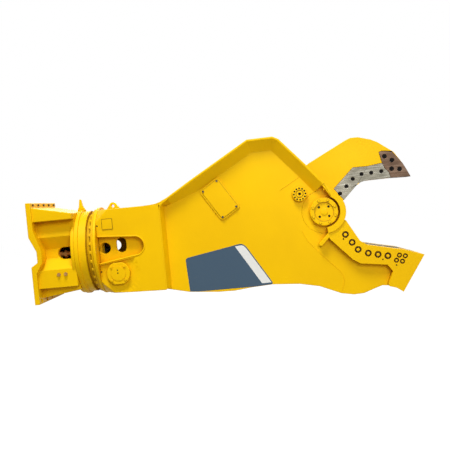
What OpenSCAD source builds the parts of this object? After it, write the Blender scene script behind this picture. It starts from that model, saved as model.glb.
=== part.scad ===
// Rotating hydraulic scrap shear for an excavator.
// X runs along the slew axis from the machine flange to the jaws, Z is up,
// and Y is across. The jaws are shown fully open.

/* [Head] */
// Width of the head across the machine flange
head_w = 590; // [560:5:620]
// Height of the flange above the slew axis
head_top = 377; // [365:1:390]
// Depth of the flange below the slew axis
head_drop = 324; // [318:1:340]
// Length from the machine flange to the slew ring
head_l = 305; // [298:1:312]
// Thickness of the machine flange
flange_t = 34; // [28:1:38]
// Depth of the notch in the machine flange
notch_d = 46; // [40:1:54]
// Half the width between the outer machine bolts
mount_y = 240; // [225:1:250]
// Height of the machine bolt rows from the slew axis
mount_z = 300; // [290:1:305]
// Radius of a machine bolt hole
mount_hole_r = 13; // [10:0.5:16]

/* [Slew ring] */
// Wall of the fixed ring outside its ball track
ring_wall = 49; // [46:1:54]
// Length of the fixed ring along the axis
ring_l = 80; // [76:1:88]
// Radius of the ball track
track_r = 251; // [248:0.5:254]
// Radius of one ball
ball_r = 11; // [9:0.5:12]
// Number of balls
ball_count = 36; // [24:1:44]
// Number of bolts round the ring
ring_bolt_count = 30; // [24:1:36]
// Teeth inside the turning ring
ring_teeth = 64; // [60:1:66]
// Teeth on the drive pinion
pinion_teeth = 14; // [12:1:15]
// Size of one gear tooth, pitch diameter over teeth
tooth_module = 6; // [5.8:0.1:6.1]

/* [Neck] */
// Length of the neck behind its flange
neck_l = 447; // [435:1:460]
// Width of the neck
neck_w = 480; // [470:5:490]
// Height of the neck above the slew axis
neck_top = 286; // [276:1:296]
// Radius of the neck flange
neck_flange_r = 308; // [304:1:314]
// Thickness of the neck flange
neck_flange_t = 20; // [18:1:26]
// Radius of the cylinder's base pin
base_pin_r = 55; // [50:1:58]

/* [Body] */
// Length of the body from the neck to the main pivot
body_l = 1119; // [1100:1:1140]
// Height of the hump above the slew axis
hump_h = 670; // [655:1:690]
// Depth of the belly below the slew axis
belly_d = 357; // [350:1:370]
// Height of the main pivot above the slew axis
pivot_z = 131; // [126:1:136]
// Thickness of a side plate
side_t = 30; // [24:1:34]
// Gap between the side plates
body_gap = 300; // [296:1:310]
// How far the rim stands out of the side plate
rim_out = 60; // [50:1:66]
// Width of the rim's sloping inner face
rim_w = 74; // [60:1:84]
// Thickness of the roof and belly plates
skin_t = 25; // [20:1:30]

/* [Jaws] */
// Reach of the fixed jaw beyond the pivot
reach = 644; // [635:1:655]
// Depth of the fixed jaw's nose below the pivot
nose_drop = 589; // [575:1:600]
// Reach of the moving jaw beyond the pivot
jaw_reach = 629; // [620:1:634]
// Height of the moving jaw's back above the pivot
jaw_rise = 491; // [475:1:505]
// Thickness of the moving jaw
jaw_t = 150; // [144:1:156]
// Thickness of a blade
blade_t = 50; // [44:1:54]
// Width of a fixed blade
blade_h = 92; // [80:1:98]
// Shear clearance between fixed and moving blades
shear_gap = 0.5; // [0.3:0.1:1]
// Opening angle of the jaw
jaw_travel = 75; // [70:1:76]
// Radius of the main pivot pin
main_pin_r = 80; // [72:1:84]
// Length of the lever from the pivot to the rod pin
lever_l = 440; // [430:1:450]

/* [Cylinder] */
// Outer radius of the barrel
barrel_r = 120; // [112:1:124]
// Wall of the barrel
barrel_wall = 24; // [20:1:28]
// Radius of the rod
rod_r = 65; // [58:1:68]
// Radius of the rod pin
rod_pin_r = 48; // [42:1:52]
// Length of rod that shows between the gland and its pin with the jaw open
rod_show = 161; // [152:1:172]

/* [Hidden] */
$fn = 72;

// Overrun of every cut, the fine overlap inside a piece, and the clearances between pieces
cut = 5;
lap = 1;
fit_gap = 0.05;
seat_gap = 0.3;
side_gap = 1.5;

// Colours of the finished pieces
yellow = "#f2c500";
steel = "#8a8c88";
dark = "#3a3a3a";
slate = "#4b5f70";
offwhite = "#e6e6e0";
brass = "#b08d57";
rubber_black = "#202020";

// Main stations along the slew axis
bolt_room = 53;
ring_end = head_l + ring_l;
ring_r = track_r + ring_wall;
flange_x = ring_end + bolt_room;
neck_x = flange_x + neck_flange_t;
seam_x = neck_x + neck_l;
pivot_x = seam_x + body_l;

// Half widths across the machine
gap_half = body_gap / 2;
plate_half = gap_half + side_t;
rim_half = plate_half + rim_out;
neck_half = neck_w / 2;
jaw_half = jaw_t / 2;
seat_half = jaw_half + shear_gap + blade_t;
cheek_out = 45;
cheek_half = plate_half + cheek_out;

// Places a flat drawing in the XZ plane between two values of Y
module slab(y0, y1) {
  translate([0, y1, 0]) rotate([90, 0, 0]) linear_extrude(y1 - y0) children();
}

// Copies a near-side piece to the far side as well
module both_sides() {
  children();
  mirror([0, 1, 0]) children();
}

// Round bar along X, and along Y
module bar_x(x0, x1, r) {
  translate([x0, 0, 0]) rotate([0, 90, 0]) cylinder(h = x1 - x0, r = r);
}
module bar_y(at, y0, y1, r) {
  translate([at[0], y1, at[1]]) rotate([90, 0, 0]) cylinder(h = y1 - y0, r = r);
}

// Turned piece round X, from an outline of radius and station
module turned_x(outline) {
  rotate([0, 90, 0]) rotate_extrude() polygon(outline);
}

// Points of an outline given as shares of two sizes, from a place
function placed(shares, size_x, size_z, at) =
  [for (s = shares) [at[0] + s[0] * size_x, at[1] + s[1] * size_z]];
function reversed(list) = [for (i = [len(list) - 1 : -1 : 0]) list[i]];
function unit(v) = v / norm(v);
function right_of(a, b) = let (d = unit(b - a)) [d[1], -d[0]];

// Path moved to its right-hand side by one distance a point, with mitred corners
function inset(path, dist) = [
  for (i = [0 : len(path) - 1])
    let (
      before = right_of(path[max(i - 1, 0)], path[max(i, 1)]),
      after = right_of(path[min(i, len(path) - 2)], path[min(i + 1, len(path) - 1)]),
      mid = unit(before + after))
    path[i] + mid * dist[i] / (mid * after)];
function same(value, path) = [for (p = path) value];

// Outline of a link round two circles
module link(a, ra, b, rb) {
  run = norm(b - a);
  way = atan2(b[1] - a[1], b[0] - a[0]);
  lean = acos((ra - rb) / run);
  up = [cos(way + lean), sin(way + lean)];
  down = [cos(way - lean), sin(way - lean)];
  translate(a) circle(ra);
  translate(b) circle(rb);
  polygon([a + ra * up, a + ra * down, b + rb * down, b + rb * up]);
}

// Wedge of a circle between two angles
module wedge(r, from_angle, to_angle) {
  steps = 12;
  far_r = r * 2;
  polygon([[0, 0], for (i = [0 : steps])
    let (a = from_angle + (to_angle - from_angle) * i / steps) far_r * [cos(a), sin(a)]]);
}

// Side outline of the body: neck, slope, hump, nose side
top_shares = [[0.05, 0.484], [0.201, 0.636], [0.572, 0.994], [0.728, 1], [0.764, 0.97],
  [0.916, 0.682], [1.014, 0.485]];
belly_shares = [[0, 0.85], [0.131, 0.944], [0.308, 0.994], [0.415, 1], [0.522, 0.964], [0.65, 0.941],
  [0.816, 0.978], [0.936, 1.056]];
jaw_belly_shares = [[0.11, 0.966], [0.242, 0.993], [0.349, 0.988], [0.489, 0.935], [0.55, 0.915],
  [0.61, 0.922]];
cheek_top_shares = [[0.219, 0.122], [0.346, 0.37], [0.424, 0.428], [0.654, 0.486], [0.825, 0.526],
  [0.957, 0.579], [1, 0.593]];
cheek_low_shares = [[0.752, 1], [0.682, 0.947], [0.61, 0.922], [0.606, 0.896], [0.661, 0.754],
  [0.609, 0.674], [0.332, 0.633], [0.256, 0.581], [0.031, 0.316]];
pivot = [pivot_x, pivot_z];
top_path = concat([[seam_x, neck_top]], placed(top_shares, body_l, hump_h, [seam_x, 0]));
belly_path = placed(belly_shares, body_l, -belly_d, [seam_x, 0]);
jaw_belly_path = placed(jaw_belly_shares, reach, -nose_drop, pivot);
cheek_top_path = placed(cheek_top_shares, reach, -nose_drop, pivot);
cheek_low_path = placed(cheek_low_shares, reach, -nose_drop, pivot);

// Pivot bosses and what sits round them
boss_r = 147;
guard_in_r = 108;
guard_out = 10;
guard_ends = [62, 276];
hub_r = 125;
cap_r = 95;
cap_t = 44;
bush_t = 14;
nose_r = 672;
nose_blade_t = 28;
nose_blade_h = 105;

cheek_points = concat([pivot], cheek_top_path, cheek_low_path);

// Head: casting between the machine flange and the slew ring
plate_shares = [[0, 1], [0, 0.371], [1, 0.106], [1, -0.093], [0, -0.17]];
side_taper_shares = [[0.915, 0.75], [0.898, 0.778]];
nut_pocket_r = 24;
beam_half = 280;
head_profile_shares = [[1, 1.1], [1, 0.645], [0.72, 0.645], [0.84, 0.347], [0.66, 0.127], [0.68, -0.053],
  [0.964, -0.247], [0.964, -0.581], [0.72, -0.581], [0.72, -1]];
cavity_half = 150;
cavity_top = 225;
cavity_drop = 190;
cavity_x = 96;
ring_plate_t = 24;
ring_plate_in = 6;
ring_plate_r = ring_r - ring_plate_in;
ring_plate_x = head_l - ring_plate_t;
centre_hole_r = 60;
pilot_r = 50;
motor_r = 60;
motor_z = tooth_module * (ring_teeth - pinion_teeth) / 2;
window_r = 42;
window_x = 206;
window_z = 10;
port_y = 70;
port_r = 22;

module head_casting() {
  notch = [for (s = plate_shares) [s[0] * notch_d, s[1] * head_top]];
  back = [[flange_t, -head_drop], [flange_t, notch[4][1] - notch_d], [notch_d + flange_t, notch[3][1]],
    [notch_d + flange_t, notch[2][1]], [flange_t, notch[1][1] + notch_d], [flange_t, head_top]];
  side = [for (s = head_profile_shares) [s[0] * beam_half, s[1] * head_top]];
  top = head_top * side_taper_shares[0];
  low = -head_drop * side_taper_shares[1];
  color(yellow) difference() {
    union() {
      slab(-head_w / 2, head_w / 2) polygon(concat([[0, head_top], [0, -head_drop]], back));
      intersection() {
        slab(-beam_half - cut, beam_half + cut) polygon([[flange_t / 2, top[0]], [head_l, top[1]],
          [head_l, low[1]], [flange_t / 2, low[0]]]);
        rotate([90, 0, 90]) linear_extrude(head_l)
          polygon(concat(side, reversed([for (p = side) [-p[0], p[1]]])));
      }
      bar_x(ring_plate_x, head_l, ring_plate_r);
    }
    slab(-head_w, head_w) polygon([[-cut, notch[1][1]], notch[1], notch[2], notch[3], notch[4],
      [-cut, notch[4][1]]]);
    translate([cavity_x, -cavity_half, -cavity_drop])
      cube([ring_plate_x - cavity_x, cavity_half * 2, cavity_top + cavity_drop]);
    bar_x(ring_plate_x - cut, head_l + cut, centre_hole_r);
    translate([0, 0, motor_z]) bar_x(ring_plate_x - cut, head_l + cut, pilot_r);
    slab(-head_w, head_w) {
      translate([window_x, window_z]) circle(window_r);
      translate([window_x, window_z - window_r]) square([ring_plate_x - window_x, window_r * 2]);
    }
    for (y = [-1 : 0.5 : 1]) translate([0, y * mount_y, 0]) {
      for (z = [-1, 1]) translate([0, 0, z * mount_z]) bar_x(-cut, flange_t + cut, mount_hole_r);
      translate([0, 0, -mount_z]) bar_x(flange_t, flange_t + notch_d, nut_pocket_r);
    }
    for (y = [-1, 1]) translate([0, y * port_y, 0]) bar_x(0, cavity_x + cut, port_r);
    ring_of(outer_screw_count, outer_screw_pcr)
      bar_x(head_l - outer_screw_in, head_l + cut, outer_screw_r + seat_gap);
  }
}

// Row of screws along the top of the machine flange
top_screw_r = 7;
top_screw_t = 8;
top_screw_drop = 16;
module head_top_screws() {
  color(steel) for (y = [-1 : 0.5 : 1]) translate([0, y * mount_y, head_top - top_screw_drop])
    bar_x(flange_t, flange_t + top_screw_t, top_screw_r);
}

// Bulkhead fittings that take the machine's hoses
fitting_hex_r = 30;
fitting_hex_t = 18;
fitting_bore_r = 12;
module hex_x(x0, x1, r) {
  translate([x0, 0, 0]) rotate([0, 90, 0]) cylinder(h = x1 - x0, r = r, $fn = 6);
}
module head_port_fittings() {
  color(steel) for (y = [-1, 1]) translate([0, y * port_y, 0]) difference() {
    union() {
      bar_x(notch_d - fitting_hex_t, cavity_x + fitting_hex_t, port_r - fit_gap);
      hex_x(notch_d - fitting_hex_t, notch_d, fitting_hex_r);
      hex_x(cavity_x, cavity_x + fitting_hex_t, fitting_hex_r);
    }
    bar_x(notch_d - fitting_hex_t - cut, cavity_x + fitting_hex_t + cut, fitting_bore_r);
  }
}

// Hoses from the fittings to the swivel's flange
hose_r = 15;
module head_hoses() {
  color(rubber_black) for (y = [-1, 1]) translate([0, y * port_y, 0])
    bar_x(cavity_x + fitting_hex_t, ring_plate_x - core_flange_t, hose_r);
}

// Swivel: the core is fixed to the head, the housing turns with the neck
core_r = 42;
core_foot_r = 44;
core_flange_r = 86;
core_flange_t = 20;
housing_r = 80;
housing_l = 110;
housing_flange_r = 150;
housing_flange_t = 16;
module swivel_core() {
  color(steel) {
    bar_x(cavity_x, ring_plate_x, core_foot_r);
    bar_x(ring_plate_x - core_flange_t, ring_plate_x, core_flange_r);
    bar_x(ring_plate_x - lap, flange_x - housing_flange_t, core_r);
  }
}
module swivel_housing() {
  x0 = flange_x - housing_l;
  color(steel) difference() {
    union() {
      bar_x(x0, flange_x, housing_r);
      bar_x(flange_x - housing_flange_t, flange_x, housing_flange_r);
    }
    bar_x(x0 - cut, flange_x - housing_flange_t + side_gap, core_r + fit_gap);
  }
}

// Slew drive: motor in the head, pinion inside the turning ring
gear_in = 50;
gear_w = 40;
gear_x0 = head_l + gear_in;
gear_x1 = gear_x0 + gear_w;
pinion_shaft_r = 18;
shaft_in = 68;
motor_l = 90;
motor_cap_l = 28;
motor_cap_w = 70;
module slew_motor() {
  color(dark) translate([0, 0, motor_z]) difference() {
    union() {
      bar_x(ring_plate_x - motor_l, ring_plate_x, motor_r);
      bar_x(ring_plate_x - lap, head_l, pilot_r - seat_gap);
      translate([ring_plate_x - motor_l - motor_cap_l, -motor_cap_w / 2, -motor_cap_w / 2])
        cube([motor_cap_l + lap, motor_cap_w, motor_cap_w]);
    }
    bar_x(ring_plate_x - shaft_in - side_gap, head_l + cut, pinion_shaft_r + fit_gap);
  }
}

addendum_share = 0.8;
pinion_tooth_shares = [1.25, 0.42];
gear_gap_shares = [1.65, 0.95];
function tooth_ring(count, root, tip, root_half, tip_half) = [
  for (i = [0 : count - 1]) each [
    let (a = i * 360 / count - root_half) root * [cos(a), sin(a)],
    let (a = i * 360 / count - tip_half) tip * [cos(a), sin(a)],
    let (a = i * 360 / count + tip_half) tip * [cos(a), sin(a)],
    let (a = i * 360 / count + root_half) root * [cos(a), sin(a)]]];
module pinion_outline() {
  pitch = tooth_module * pinion_teeth / 2;
  half = 90 / pinion_teeth;
  polygon(tooth_ring(pinion_teeth, pitch - tooth_module, pitch + addendum_share * tooth_module,
    half * pinion_tooth_shares[0], half * pinion_tooth_shares[1]));
}
module ring_gear_cut() {
  pitch = tooth_module * ring_teeth / 2;
  half = 90 / ring_teeth;
  polygon(tooth_ring(ring_teeth, pitch - addendum_share * tooth_module, pitch + tooth_module,
    half * gear_gap_shares[0], half * gear_gap_shares[1]));
}
module slew_pinion() {
  color(steel) translate([0, 0, motor_z]) {
    translate([gear_x0, 0, 0]) rotate([0, 90, 0]) linear_extrude(gear_x1 - gear_x0) pinion_outline();
    bar_x(ring_plate_x - shaft_in, gear_x0 + lap, pinion_shaft_r);
  }
}

// Slewing ring: fixed outer half, balls, turning inner half with the gear
drum_in = 12;
drum_r = ring_r - drum_in;
ring_flange_t = 28;
race_gap = 1;
ball_in = 60;
ball_x = head_l + ball_in;
ball_facets = 16;
outer_screw_count = 30;
outer_screw_edge = 26;
outer_screw_pcr = ring_r - outer_screw_edge;
outer_screw_r = 8;
outer_screw_in = 16;
outer_head_r = 11;
outer_head_t = 12;
inner_ring_in = 204;
inner_ring_run = 34;
inner_ring_x = head_l + inner_ring_run;
inner_flange_in = 3;
inner_flange_r = ring_r - inner_flange_in;
inner_lip_in = 29;
inner_lip_r = inner_flange_r - inner_lip_in;
inner_lip_gap = 3;
inner_flange_t = 15;
module ring_of(count, pcr) {
  for (i = [0 : count - 1]) rotate([(i + 0.5) * 360 / count, 0, 0]) translate([0, 0, pcr]) children();
}
module ball_groove() {
  translate([ball_x, 0, 0]) rotate([0, 90, 0]) rotate_extrude() translate([track_r, 0])
    circle(ball_r + seat_gap);
}
module slew_outer_ring() {
  bore = track_r + race_gap;
  color(yellow) difference() {
    turned_x([[bore, head_l], [ring_r, head_l], [ring_r, head_l + ring_flange_t],
      [drum_r, head_l + ring_flange_t], [drum_r, ring_end], [bore, ring_end]]);
    ball_groove();
    ring_of(outer_screw_count, outer_screw_pcr) {
      bar_x(head_l - cut, ring_end, outer_screw_r + seat_gap);
      bar_x(ring_end - outer_head_t, ring_end + cut, outer_head_r + seat_gap);
    }
  }
}
module slew_outer_screws() {
  color(steel) ring_of(outer_screw_count, outer_screw_pcr) {
    bar_x(head_l - outer_screw_in, ring_end - outer_head_t + lap, outer_screw_r);
    bar_x(ring_end - outer_head_t, ring_end - side_gap, outer_head_r);
  }
}
module slew_balls() {
  color(steel) for (i = [0 : ball_count - 1]) rotate([i * 360 / ball_count, 0, 0])
    translate([ball_x, 0, track_r]) sphere(ball_r, $fn = ball_facets);
}
module slew_inner_ring() {
  race = track_r - race_gap;
  lip_x = ring_end + inner_lip_gap;
  flange_x0 = flange_x - inner_flange_t;
  color(steel) difference() {
    turned_x([[inner_ring_in, inner_ring_x], [race, inner_ring_x], [race, lip_x], [inner_lip_r, lip_x],
      [inner_lip_r, flange_x0], [inner_flange_r, flange_x0], [inner_flange_r, flange_x],
      [inner_ring_in, flange_x]]);
    ball_groove();
    ring_of(ring_bolt_count, slew_bolt_pcr)
      bar_x(flange_x0 - cut, flange_x + cut, slew_bolt_r + seat_gap);
  }
  color(steel) translate([gear_x0, 0, 0]) rotate([0, 90, 0]) linear_extrude(gear_x1 - gear_x0)
    difference() {
      circle(inner_ring_in + lap);
      ring_gear_cut();
    }
}
slew_bolt_edge = 14;
slew_bolt_pcr = inner_flange_r - slew_bolt_edge;
slew_bolt_r = 8;
slew_bolt_in = 14;
slew_head_r = 13;
slew_head_t = 12;
module slew_bolts() {
  color(dark) ring_of(ring_bolt_count, slew_bolt_pcr) {
    hex_x(flange_x - inner_flange_t - slew_head_t, flange_x - inner_flange_t, slew_head_r);
    bar_x(flange_x - inner_flange_t - lap, flange_x + slew_bolt_in, slew_bolt_r);
  }
}

// Lug on top of the fixed ring
lug_h = head_top - ring_r;
lug_l = 58;
lug_x = -22;
lug_t = 24;
lug_root = 20;
lug_shares = [[0, 0], [0.2, 0.3], [0.34, 1], [0.54, 1], [0.7, 0.36], [1, 0]];
module ring_lug() {
  color(yellow) difference() {
    slab(-lug_t / 2, lug_t / 2) polygon(concat(placed(lug_shares, lug_l, lug_h, [head_l + lug_x, ring_r]),
      [[head_l + lug_x + lug_l, drum_r - lug_root], [head_l + lug_x, drum_r - lug_root]]));
    bar_x(ring_plate_x, head_l, ring_plate_r);
    bar_x(head_l, head_l + ring_flange_t, ring_r);
    bar_x(head_l, ring_end, drum_r);
  }
}

// Grease nipples on the lower side panels of the head
panel_half = beam_half * head_profile_shares[7][0];
nipple_r = 8;
nipple_out = 18;
nipple_hex_r = 12;
nipple_hex_t = 7;
nipple_at = [[180, -130], [228, -130]];
module grease_nipples() {
  color(brass) both_sides() for (p = nipple_at) {
    bar_y(p, -panel_half - nipple_out, -panel_half, nipple_r);
    bar_y(p, -panel_half - nipple_hex_t, -panel_half, nipple_hex_r);
  }
}

// Neck: welded box from the slew ring flange to the body
neck_wall = 70;
neck_in = neck_half - neck_wall;
neck_floor_t = 30;
neck_end_t = 20;
neck_low = belly_path[0][1];
flange_low = -292;
neck_open_r = 112;
neck_cone_run = 110;
neck_cone_r = 390;
base_pin_in = 129;
base_pin_drop = 160;
base_pin_at = [neck_x + base_pin_in, -base_pin_drop];
base_recess = 14;
base_recess_r = 172;
base_floor_r = 116;
base_boss_r = 90;
pocket_d = 45;
pocket_l = 257;
pocket_r = 67;
pocket_lip = 12;
pocket_z = 20;
pocket_top = 106;
pocket_low = -88;
hand_hole_r = 38;
hand_hole_at = [42, 18];
hose_slot_r = 34;
hose_slot_at = [157, 14];
hose_slot_l = 36;
module neck_flange() {
  color(yellow) difference() {
    bar_x(flange_x, neck_x, neck_flange_r);
    bar_x(flange_x - cut, neck_x + cut, neck_open_r);
    ring_of(ring_bolt_count, slew_bolt_pcr)
      bar_x(flange_x - cut, flange_x + slew_bolt_in + side_gap, slew_bolt_r + seat_gap);
  }
}
module pocket_outline(grow) {
  end = [neck_x + pocket_l, pocket_z];
  r = pocket_r + grow;
  translate(end) circle(r);
  polygon([[neck_x - 2 * cut, pocket_low - grow], [end[0], end[1] - r], [end[0], end[1] + r],
    [neck_x - 2 * cut, pocket_top + grow]]);
}
module base_scoop() {
  difference() {
    union() {
      translate([base_pin_at[0], -neck_half + base_recess, base_pin_at[1]]) rotate([90, 0, 0])
        cylinder(h = base_recess + cut, r1 = base_floor_r, r2 = base_recess_r);
      translate([neck_x - cut, -neck_half - cut, neck_low - cut])
        cube([base_pin_in + cut, base_recess + cut, pocket_low - neck_low + cut]);
    }
    slab(-neck_half - 2 * cut, -neck_half + base_recess + cut) pocket_outline(pocket_lip);
  }
}
module neck_box() {
  color(yellow) difference() {
    union() {
      difference() {
        slab(-neck_half, neck_half)
          polygon([[neck_x, flange_low], [neck_x, neck_top], top_path[0], belly_path[0]]);
        slab(-neck_in, neck_in) polygon([[neck_x + neck_end_t, flange_low + neck_floor_t],
          [neck_x + neck_end_t, neck_top - neck_floor_t], [seam_x + cut, neck_top - neck_floor_t],
          [seam_x + cut, neck_low + neck_floor_t]]);
      }
      both_sides() bar_y(base_pin_at, -neck_in - lap, -base_eye_half - side_gap, base_boss_r);
    }
    bar_x(neck_x - cut, neck_x + neck_end_t + cut, neck_open_r);
    difference() {
      bar_x(neck_x - cut, neck_x + neck_cone_run, neck_cone_r * 2);
      turned_x([[0, neck_x - 2 * cut], [neck_flange_r, neck_x - 2 * cut], [neck_flange_r, neck_x],
        [neck_cone_r, neck_x + neck_cone_run + cut], [0, neck_x + neck_cone_run + cut]]);
    }
    both_sides() {
      slab(-neck_half - cut, -neck_half + pocket_d) pocket_outline(0);
      bar_y([neck_x, 0] + hand_hole_at, -neck_half, -neck_in + cut, hand_hole_r);
      slab(-neck_half, -neck_in + cut) translate([neck_x, 0] + hose_slot_at) {
        circle(hose_slot_r);
        translate([0, hose_slot_l]) circle(hose_slot_r);
        translate([-hose_slot_r, 0]) square([2 * hose_slot_r, hose_slot_l]);
      }
      base_scoop();
      bar_y(base_pin_at, -neck_half - cut, -base_eye_half, base_pin_r + fit_gap);
    }
  }
}

// Lifting eye welded on the neck
eye_in = 85;
eye_x = neck_x + eye_in;
eye_t = 30;
eye_r = 27;
eye_h = 22;
eye_hole_r = 11;
eye_shares = [[-1.8, 0], [1.8, 0], [0.86, 0.5], [-0.86, 0.5]];
module lifting_eye() {
  eye = [eye_x, neck_top + eye_h];
  color(yellow) difference() {
    union() {
      bar_y(eye, -eye_t / 2, eye_t / 2, eye_r);
      slab(-eye_t / 2, eye_t / 2) polygon([for (s = eye_shares)
        [eye_x + s[0] * eye_r, neck_top + (s[1] > 0 ? eye_h + s[1] * eye_r : 0)]]);
    }
    translate([eye_x - eye_r, -eye_t, neck_top - eye_r]) cube([2 * eye_r, 2 * eye_t, eye_r]);
    bar_y(eye, -eye_t, eye_t, eye_hole_r);
  }
}

// Bare type plate on the near side of the neck
plate_w = 72;
plate_h = 72;
plate_t = 3;
plate_at = [45, 148];
module type_plate() {
  color(yellow) translate([neck_x + plate_at[0], -neck_half - plate_t, plate_at[1]])
    cube([plate_w, plate_t, plate_h]);
}

// Valve block under the neck's roof, with hoses to the swivel
valve_l = 170;
valve_w = 150;
valve_h = 96;
valve_in = 107;
valve_x = neck_x + valve_in;
valve_top = neck_top - neck_floor_t;
module speed_valve() {
  color(dark) translate([valve_x, -valve_w / 2, valve_top - valve_h]) cube([valve_l, valve_w, valve_h]);
}
neck_hose_r = 16;
neck_hose_y = 45;
neck_hose_run = 37;
neck_hose_bend = 40;
module quarter_bend(at, start) {
  translate(at) rotate([90, 0, 0]) rotate([0, 0, start]) rotate_extrude(angle = 90)
    translate([neck_hose_bend, 0]) circle(neck_hose_r);
}
module neck_hoses() {
  high = valve_top - valve_h / 2;
  x0 = flange_x + neck_hose_run;
  x1 = x0 + neck_hose_bend;
  x2 = x1 + neck_hose_bend;
  color(rubber_black) for (s = [-1, 1]) translate([0, s * neck_hose_y, 0]) {
    bar_x(flange_x, x0, neck_hose_r);
    quarter_bend([x0, 0, neck_hose_bend], -90);
    translate([x1, 0, neck_hose_bend]) cylinder(h = high - 2 * neck_hose_bend, r = neck_hose_r);
    quarter_bend([x2, 0, high - neck_hose_bend], 90);
    translate([0, 0, high]) bar_x(x2, valve_x, neck_hose_r);
  }
}

// Base pin of the cylinder with its end caps
base_cap_r = 80;
base_cap_t = 32;
cap_flat_share = 0.93;
cap_screw_ring_share = 0.8;
base_screw_r = 7;
base_screw_t = 6;
module base_pin() {
  color(steel) bar_y(base_pin_at, -neck_half + base_recess, neck_half - base_recess, base_pin_r);
}
module base_pin_caps() {
  flat = base_cap_r * cap_flat_share;
  y0 = -neck_half + base_recess - base_cap_t;
  color(yellow) both_sides() difference() {
    bar_y(base_pin_at, y0, y0 + base_cap_t, base_cap_r);
    for (z = [base_pin_at[1] + flat, base_pin_at[1] - flat - base_cap_r])
      translate([base_pin_at[0] - base_cap_r, y0 - cut, z])
        cube([base_cap_r * 2, base_cap_t + 2 * cut, base_cap_r]);
  }
}
module base_cap_screws() {
  y0 = -neck_half + base_recess - base_cap_t;
  color(dark) both_sides() for (a = [0 : 90 : 270])
    bar_y(base_pin_at + base_cap_r * cap_screw_ring_share * [cos(a), sin(a)], y0 - base_screw_t, y0,
      base_screw_r);
}

// Side plates of the body, cut away where the cheeks stand in them
cover_window_in = 28;
module body_outline() {
  polygon(concat(top_path, [pivot], [for (i = [8 : -1 : 3]) cheek_low_path[i]], reversed(jaw_belly_path),
    reversed(belly_path)));
}
module near_side_plate() { side_plate_piece(); }
module far_side_plate() { mirror([0, 1, 0]) side_plate_piece(); }
module side_plate_piece() {
  color(yellow) difference() {
    slab(-plate_half, -gap_half) body_outline();
    bar_y(pivot, -plate_half - cut, -gap_half + cut, boss_r);
    bar_y(puck_at, -plate_half - cut, -gap_half + cut, puck_r + fit_gap);
    access_frame(-plate_half - cut, -gap_half + cut, -cover_window_in);
  }
}

// Rim round the top of the side plates, with a sloping inner face
rim_lip = 13;
rim_share = [0.1, 0.5, 1, 1, 1, 1, 1, 1];
module side_rims() { both_sides() rim_piece(); }
module rim_piece() {
  lip_path = inset(top_path, same(rim_lip, top_path));
  base_path = inset(top_path, [for (s = rim_share) rim_lip + s * rim_w]);
  n = len(top_path);
  points = [for (i = [0 : n - 1]) each [
    [top_path[i][0], -rim_half, top_path[i][1]], [lip_path[i][0], -rim_half, lip_path[i][1]],
    [base_path[i][0], -plate_half, base_path[i][1]], [top_path[i][0], -plate_half, top_path[i][1]]]];
  color("#d9a800") polyhedron(points = points, faces = concat(
    [[0, 1, 2], [0, 2, 3], [4 * n - 2, 4 * n - 3, 4 * n - 4], [4 * n - 1, 4 * n - 2, 4 * n - 4]],
    [for (i = [0 : n - 2], k = [0 : 3]) let (a = 4 * i + k, b = 4 * i + (k + 1) % 4) each [
      [a, a + 4, b + 4], [a, b + 4, b]]]));
}

// Roof, belly and throat plates between the side plates
throat_shares = [[0.01, 0.29], [-0.03, 0.36], [-0.125, 0.842]];
module strip_plate(path, half) {
  slab(-half, half) polygon(concat(path, reversed(inset(path, same(skin_t, path)))));
}
module roof_plate() { color(yellow) strip_plate([for (i = [0 : 5]) top_path[i]], gap_half); }
module belly_plate() { color(yellow) strip_plate(reversed(belly_path), gap_half); }
module throat_plate() {
  color(yellow) difference() {
    strip_plate(placed(throat_shares, reach, -nose_drop, pivot), gap_half);
    strip_plate(reversed(belly_path), plate_half);
  }
}

// Cheeks of the fixed jaw with the pivot bosses and the guards
module near_jaw_cheek() { cheek_piece(true); }
module far_jaw_cheek() { mirror([0, 1, 0]) cheek_piece(false); }
module cheek_piece(bolted) {
  color(yellow) difference() {
    union() {
      slab(-cheek_half, -seat_half) polygon(cheek_points);
      difference() {
        bar_y(pivot, -cheek_half - guard_out, -seat_half, boss_r);
        slab(-cheek_half - guard_out - cut, -plate_half)
          translate(pivot) wedge(boss_r, guard_ends[0], guard_ends[1]);
      }
    }
    bar_y(pivot, -cheek_half - guard_out - cut, -plate_half, guard_in_r);
    bar_y(pivot, -cheek_half, -seat_half + cut, main_pin_r + fit_gap);
    if (bolted) for (p = bolt_path) {
      bar_y(p, -cheek_half - cut, -cheek_half + blade_nut_t, blade_nut_r + nut_room);
      bar_y(p, -cheek_half, -seat_half + cut, blade_bolt_r + seat_gap);
    }
    if (bolted) for (p = end_bolt_path) {
      bar_y(p, -cheek_half - cut, -cheek_half + blade_nut_t, end_head_r + nut_room);
      bar_y(p, -cheek_half, -seat_half + cut, end_bolt_r + seat_gap);
    }
  }
}
bolt_shares = [[0.2, 0.285], [0.262, 0.382], [0.318, 0.47], [0.42, 0.522], [0.52, 0.547], [0.62, 0.572]];
bolt_path = placed(bolt_shares, reach, -nose_drop, pivot);
end_bolt_shares = [[0.74, 0.577], [0.8, 0.591], [0.705, 0.632], [0.766, 0.649]];
end_bolt_path = placed(end_bolt_shares, reach, -nose_drop, pivot);
blade_bolt_r = 12;
blade_nut_r = 20;
blade_nut_t = 16;
nut_room = 3;
nut_sink = 2;
blade_bolt_in = 35;
end_bolt_r = 8;
end_head_r = 14;
end_bolt_in = 30;
module sunk_bolt(at, head_r, bolt_r, y_end) {
  y0 = -cheek_half + blade_nut_t;
  translate([at[0], y0, at[1]]) rotate([90, 0, 0])
    cylinder(h = blade_nut_t - nut_sink, r = head_r, $fn = 6);
  bar_y(at, y0 - lap, y_end, bolt_r);
}
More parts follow.
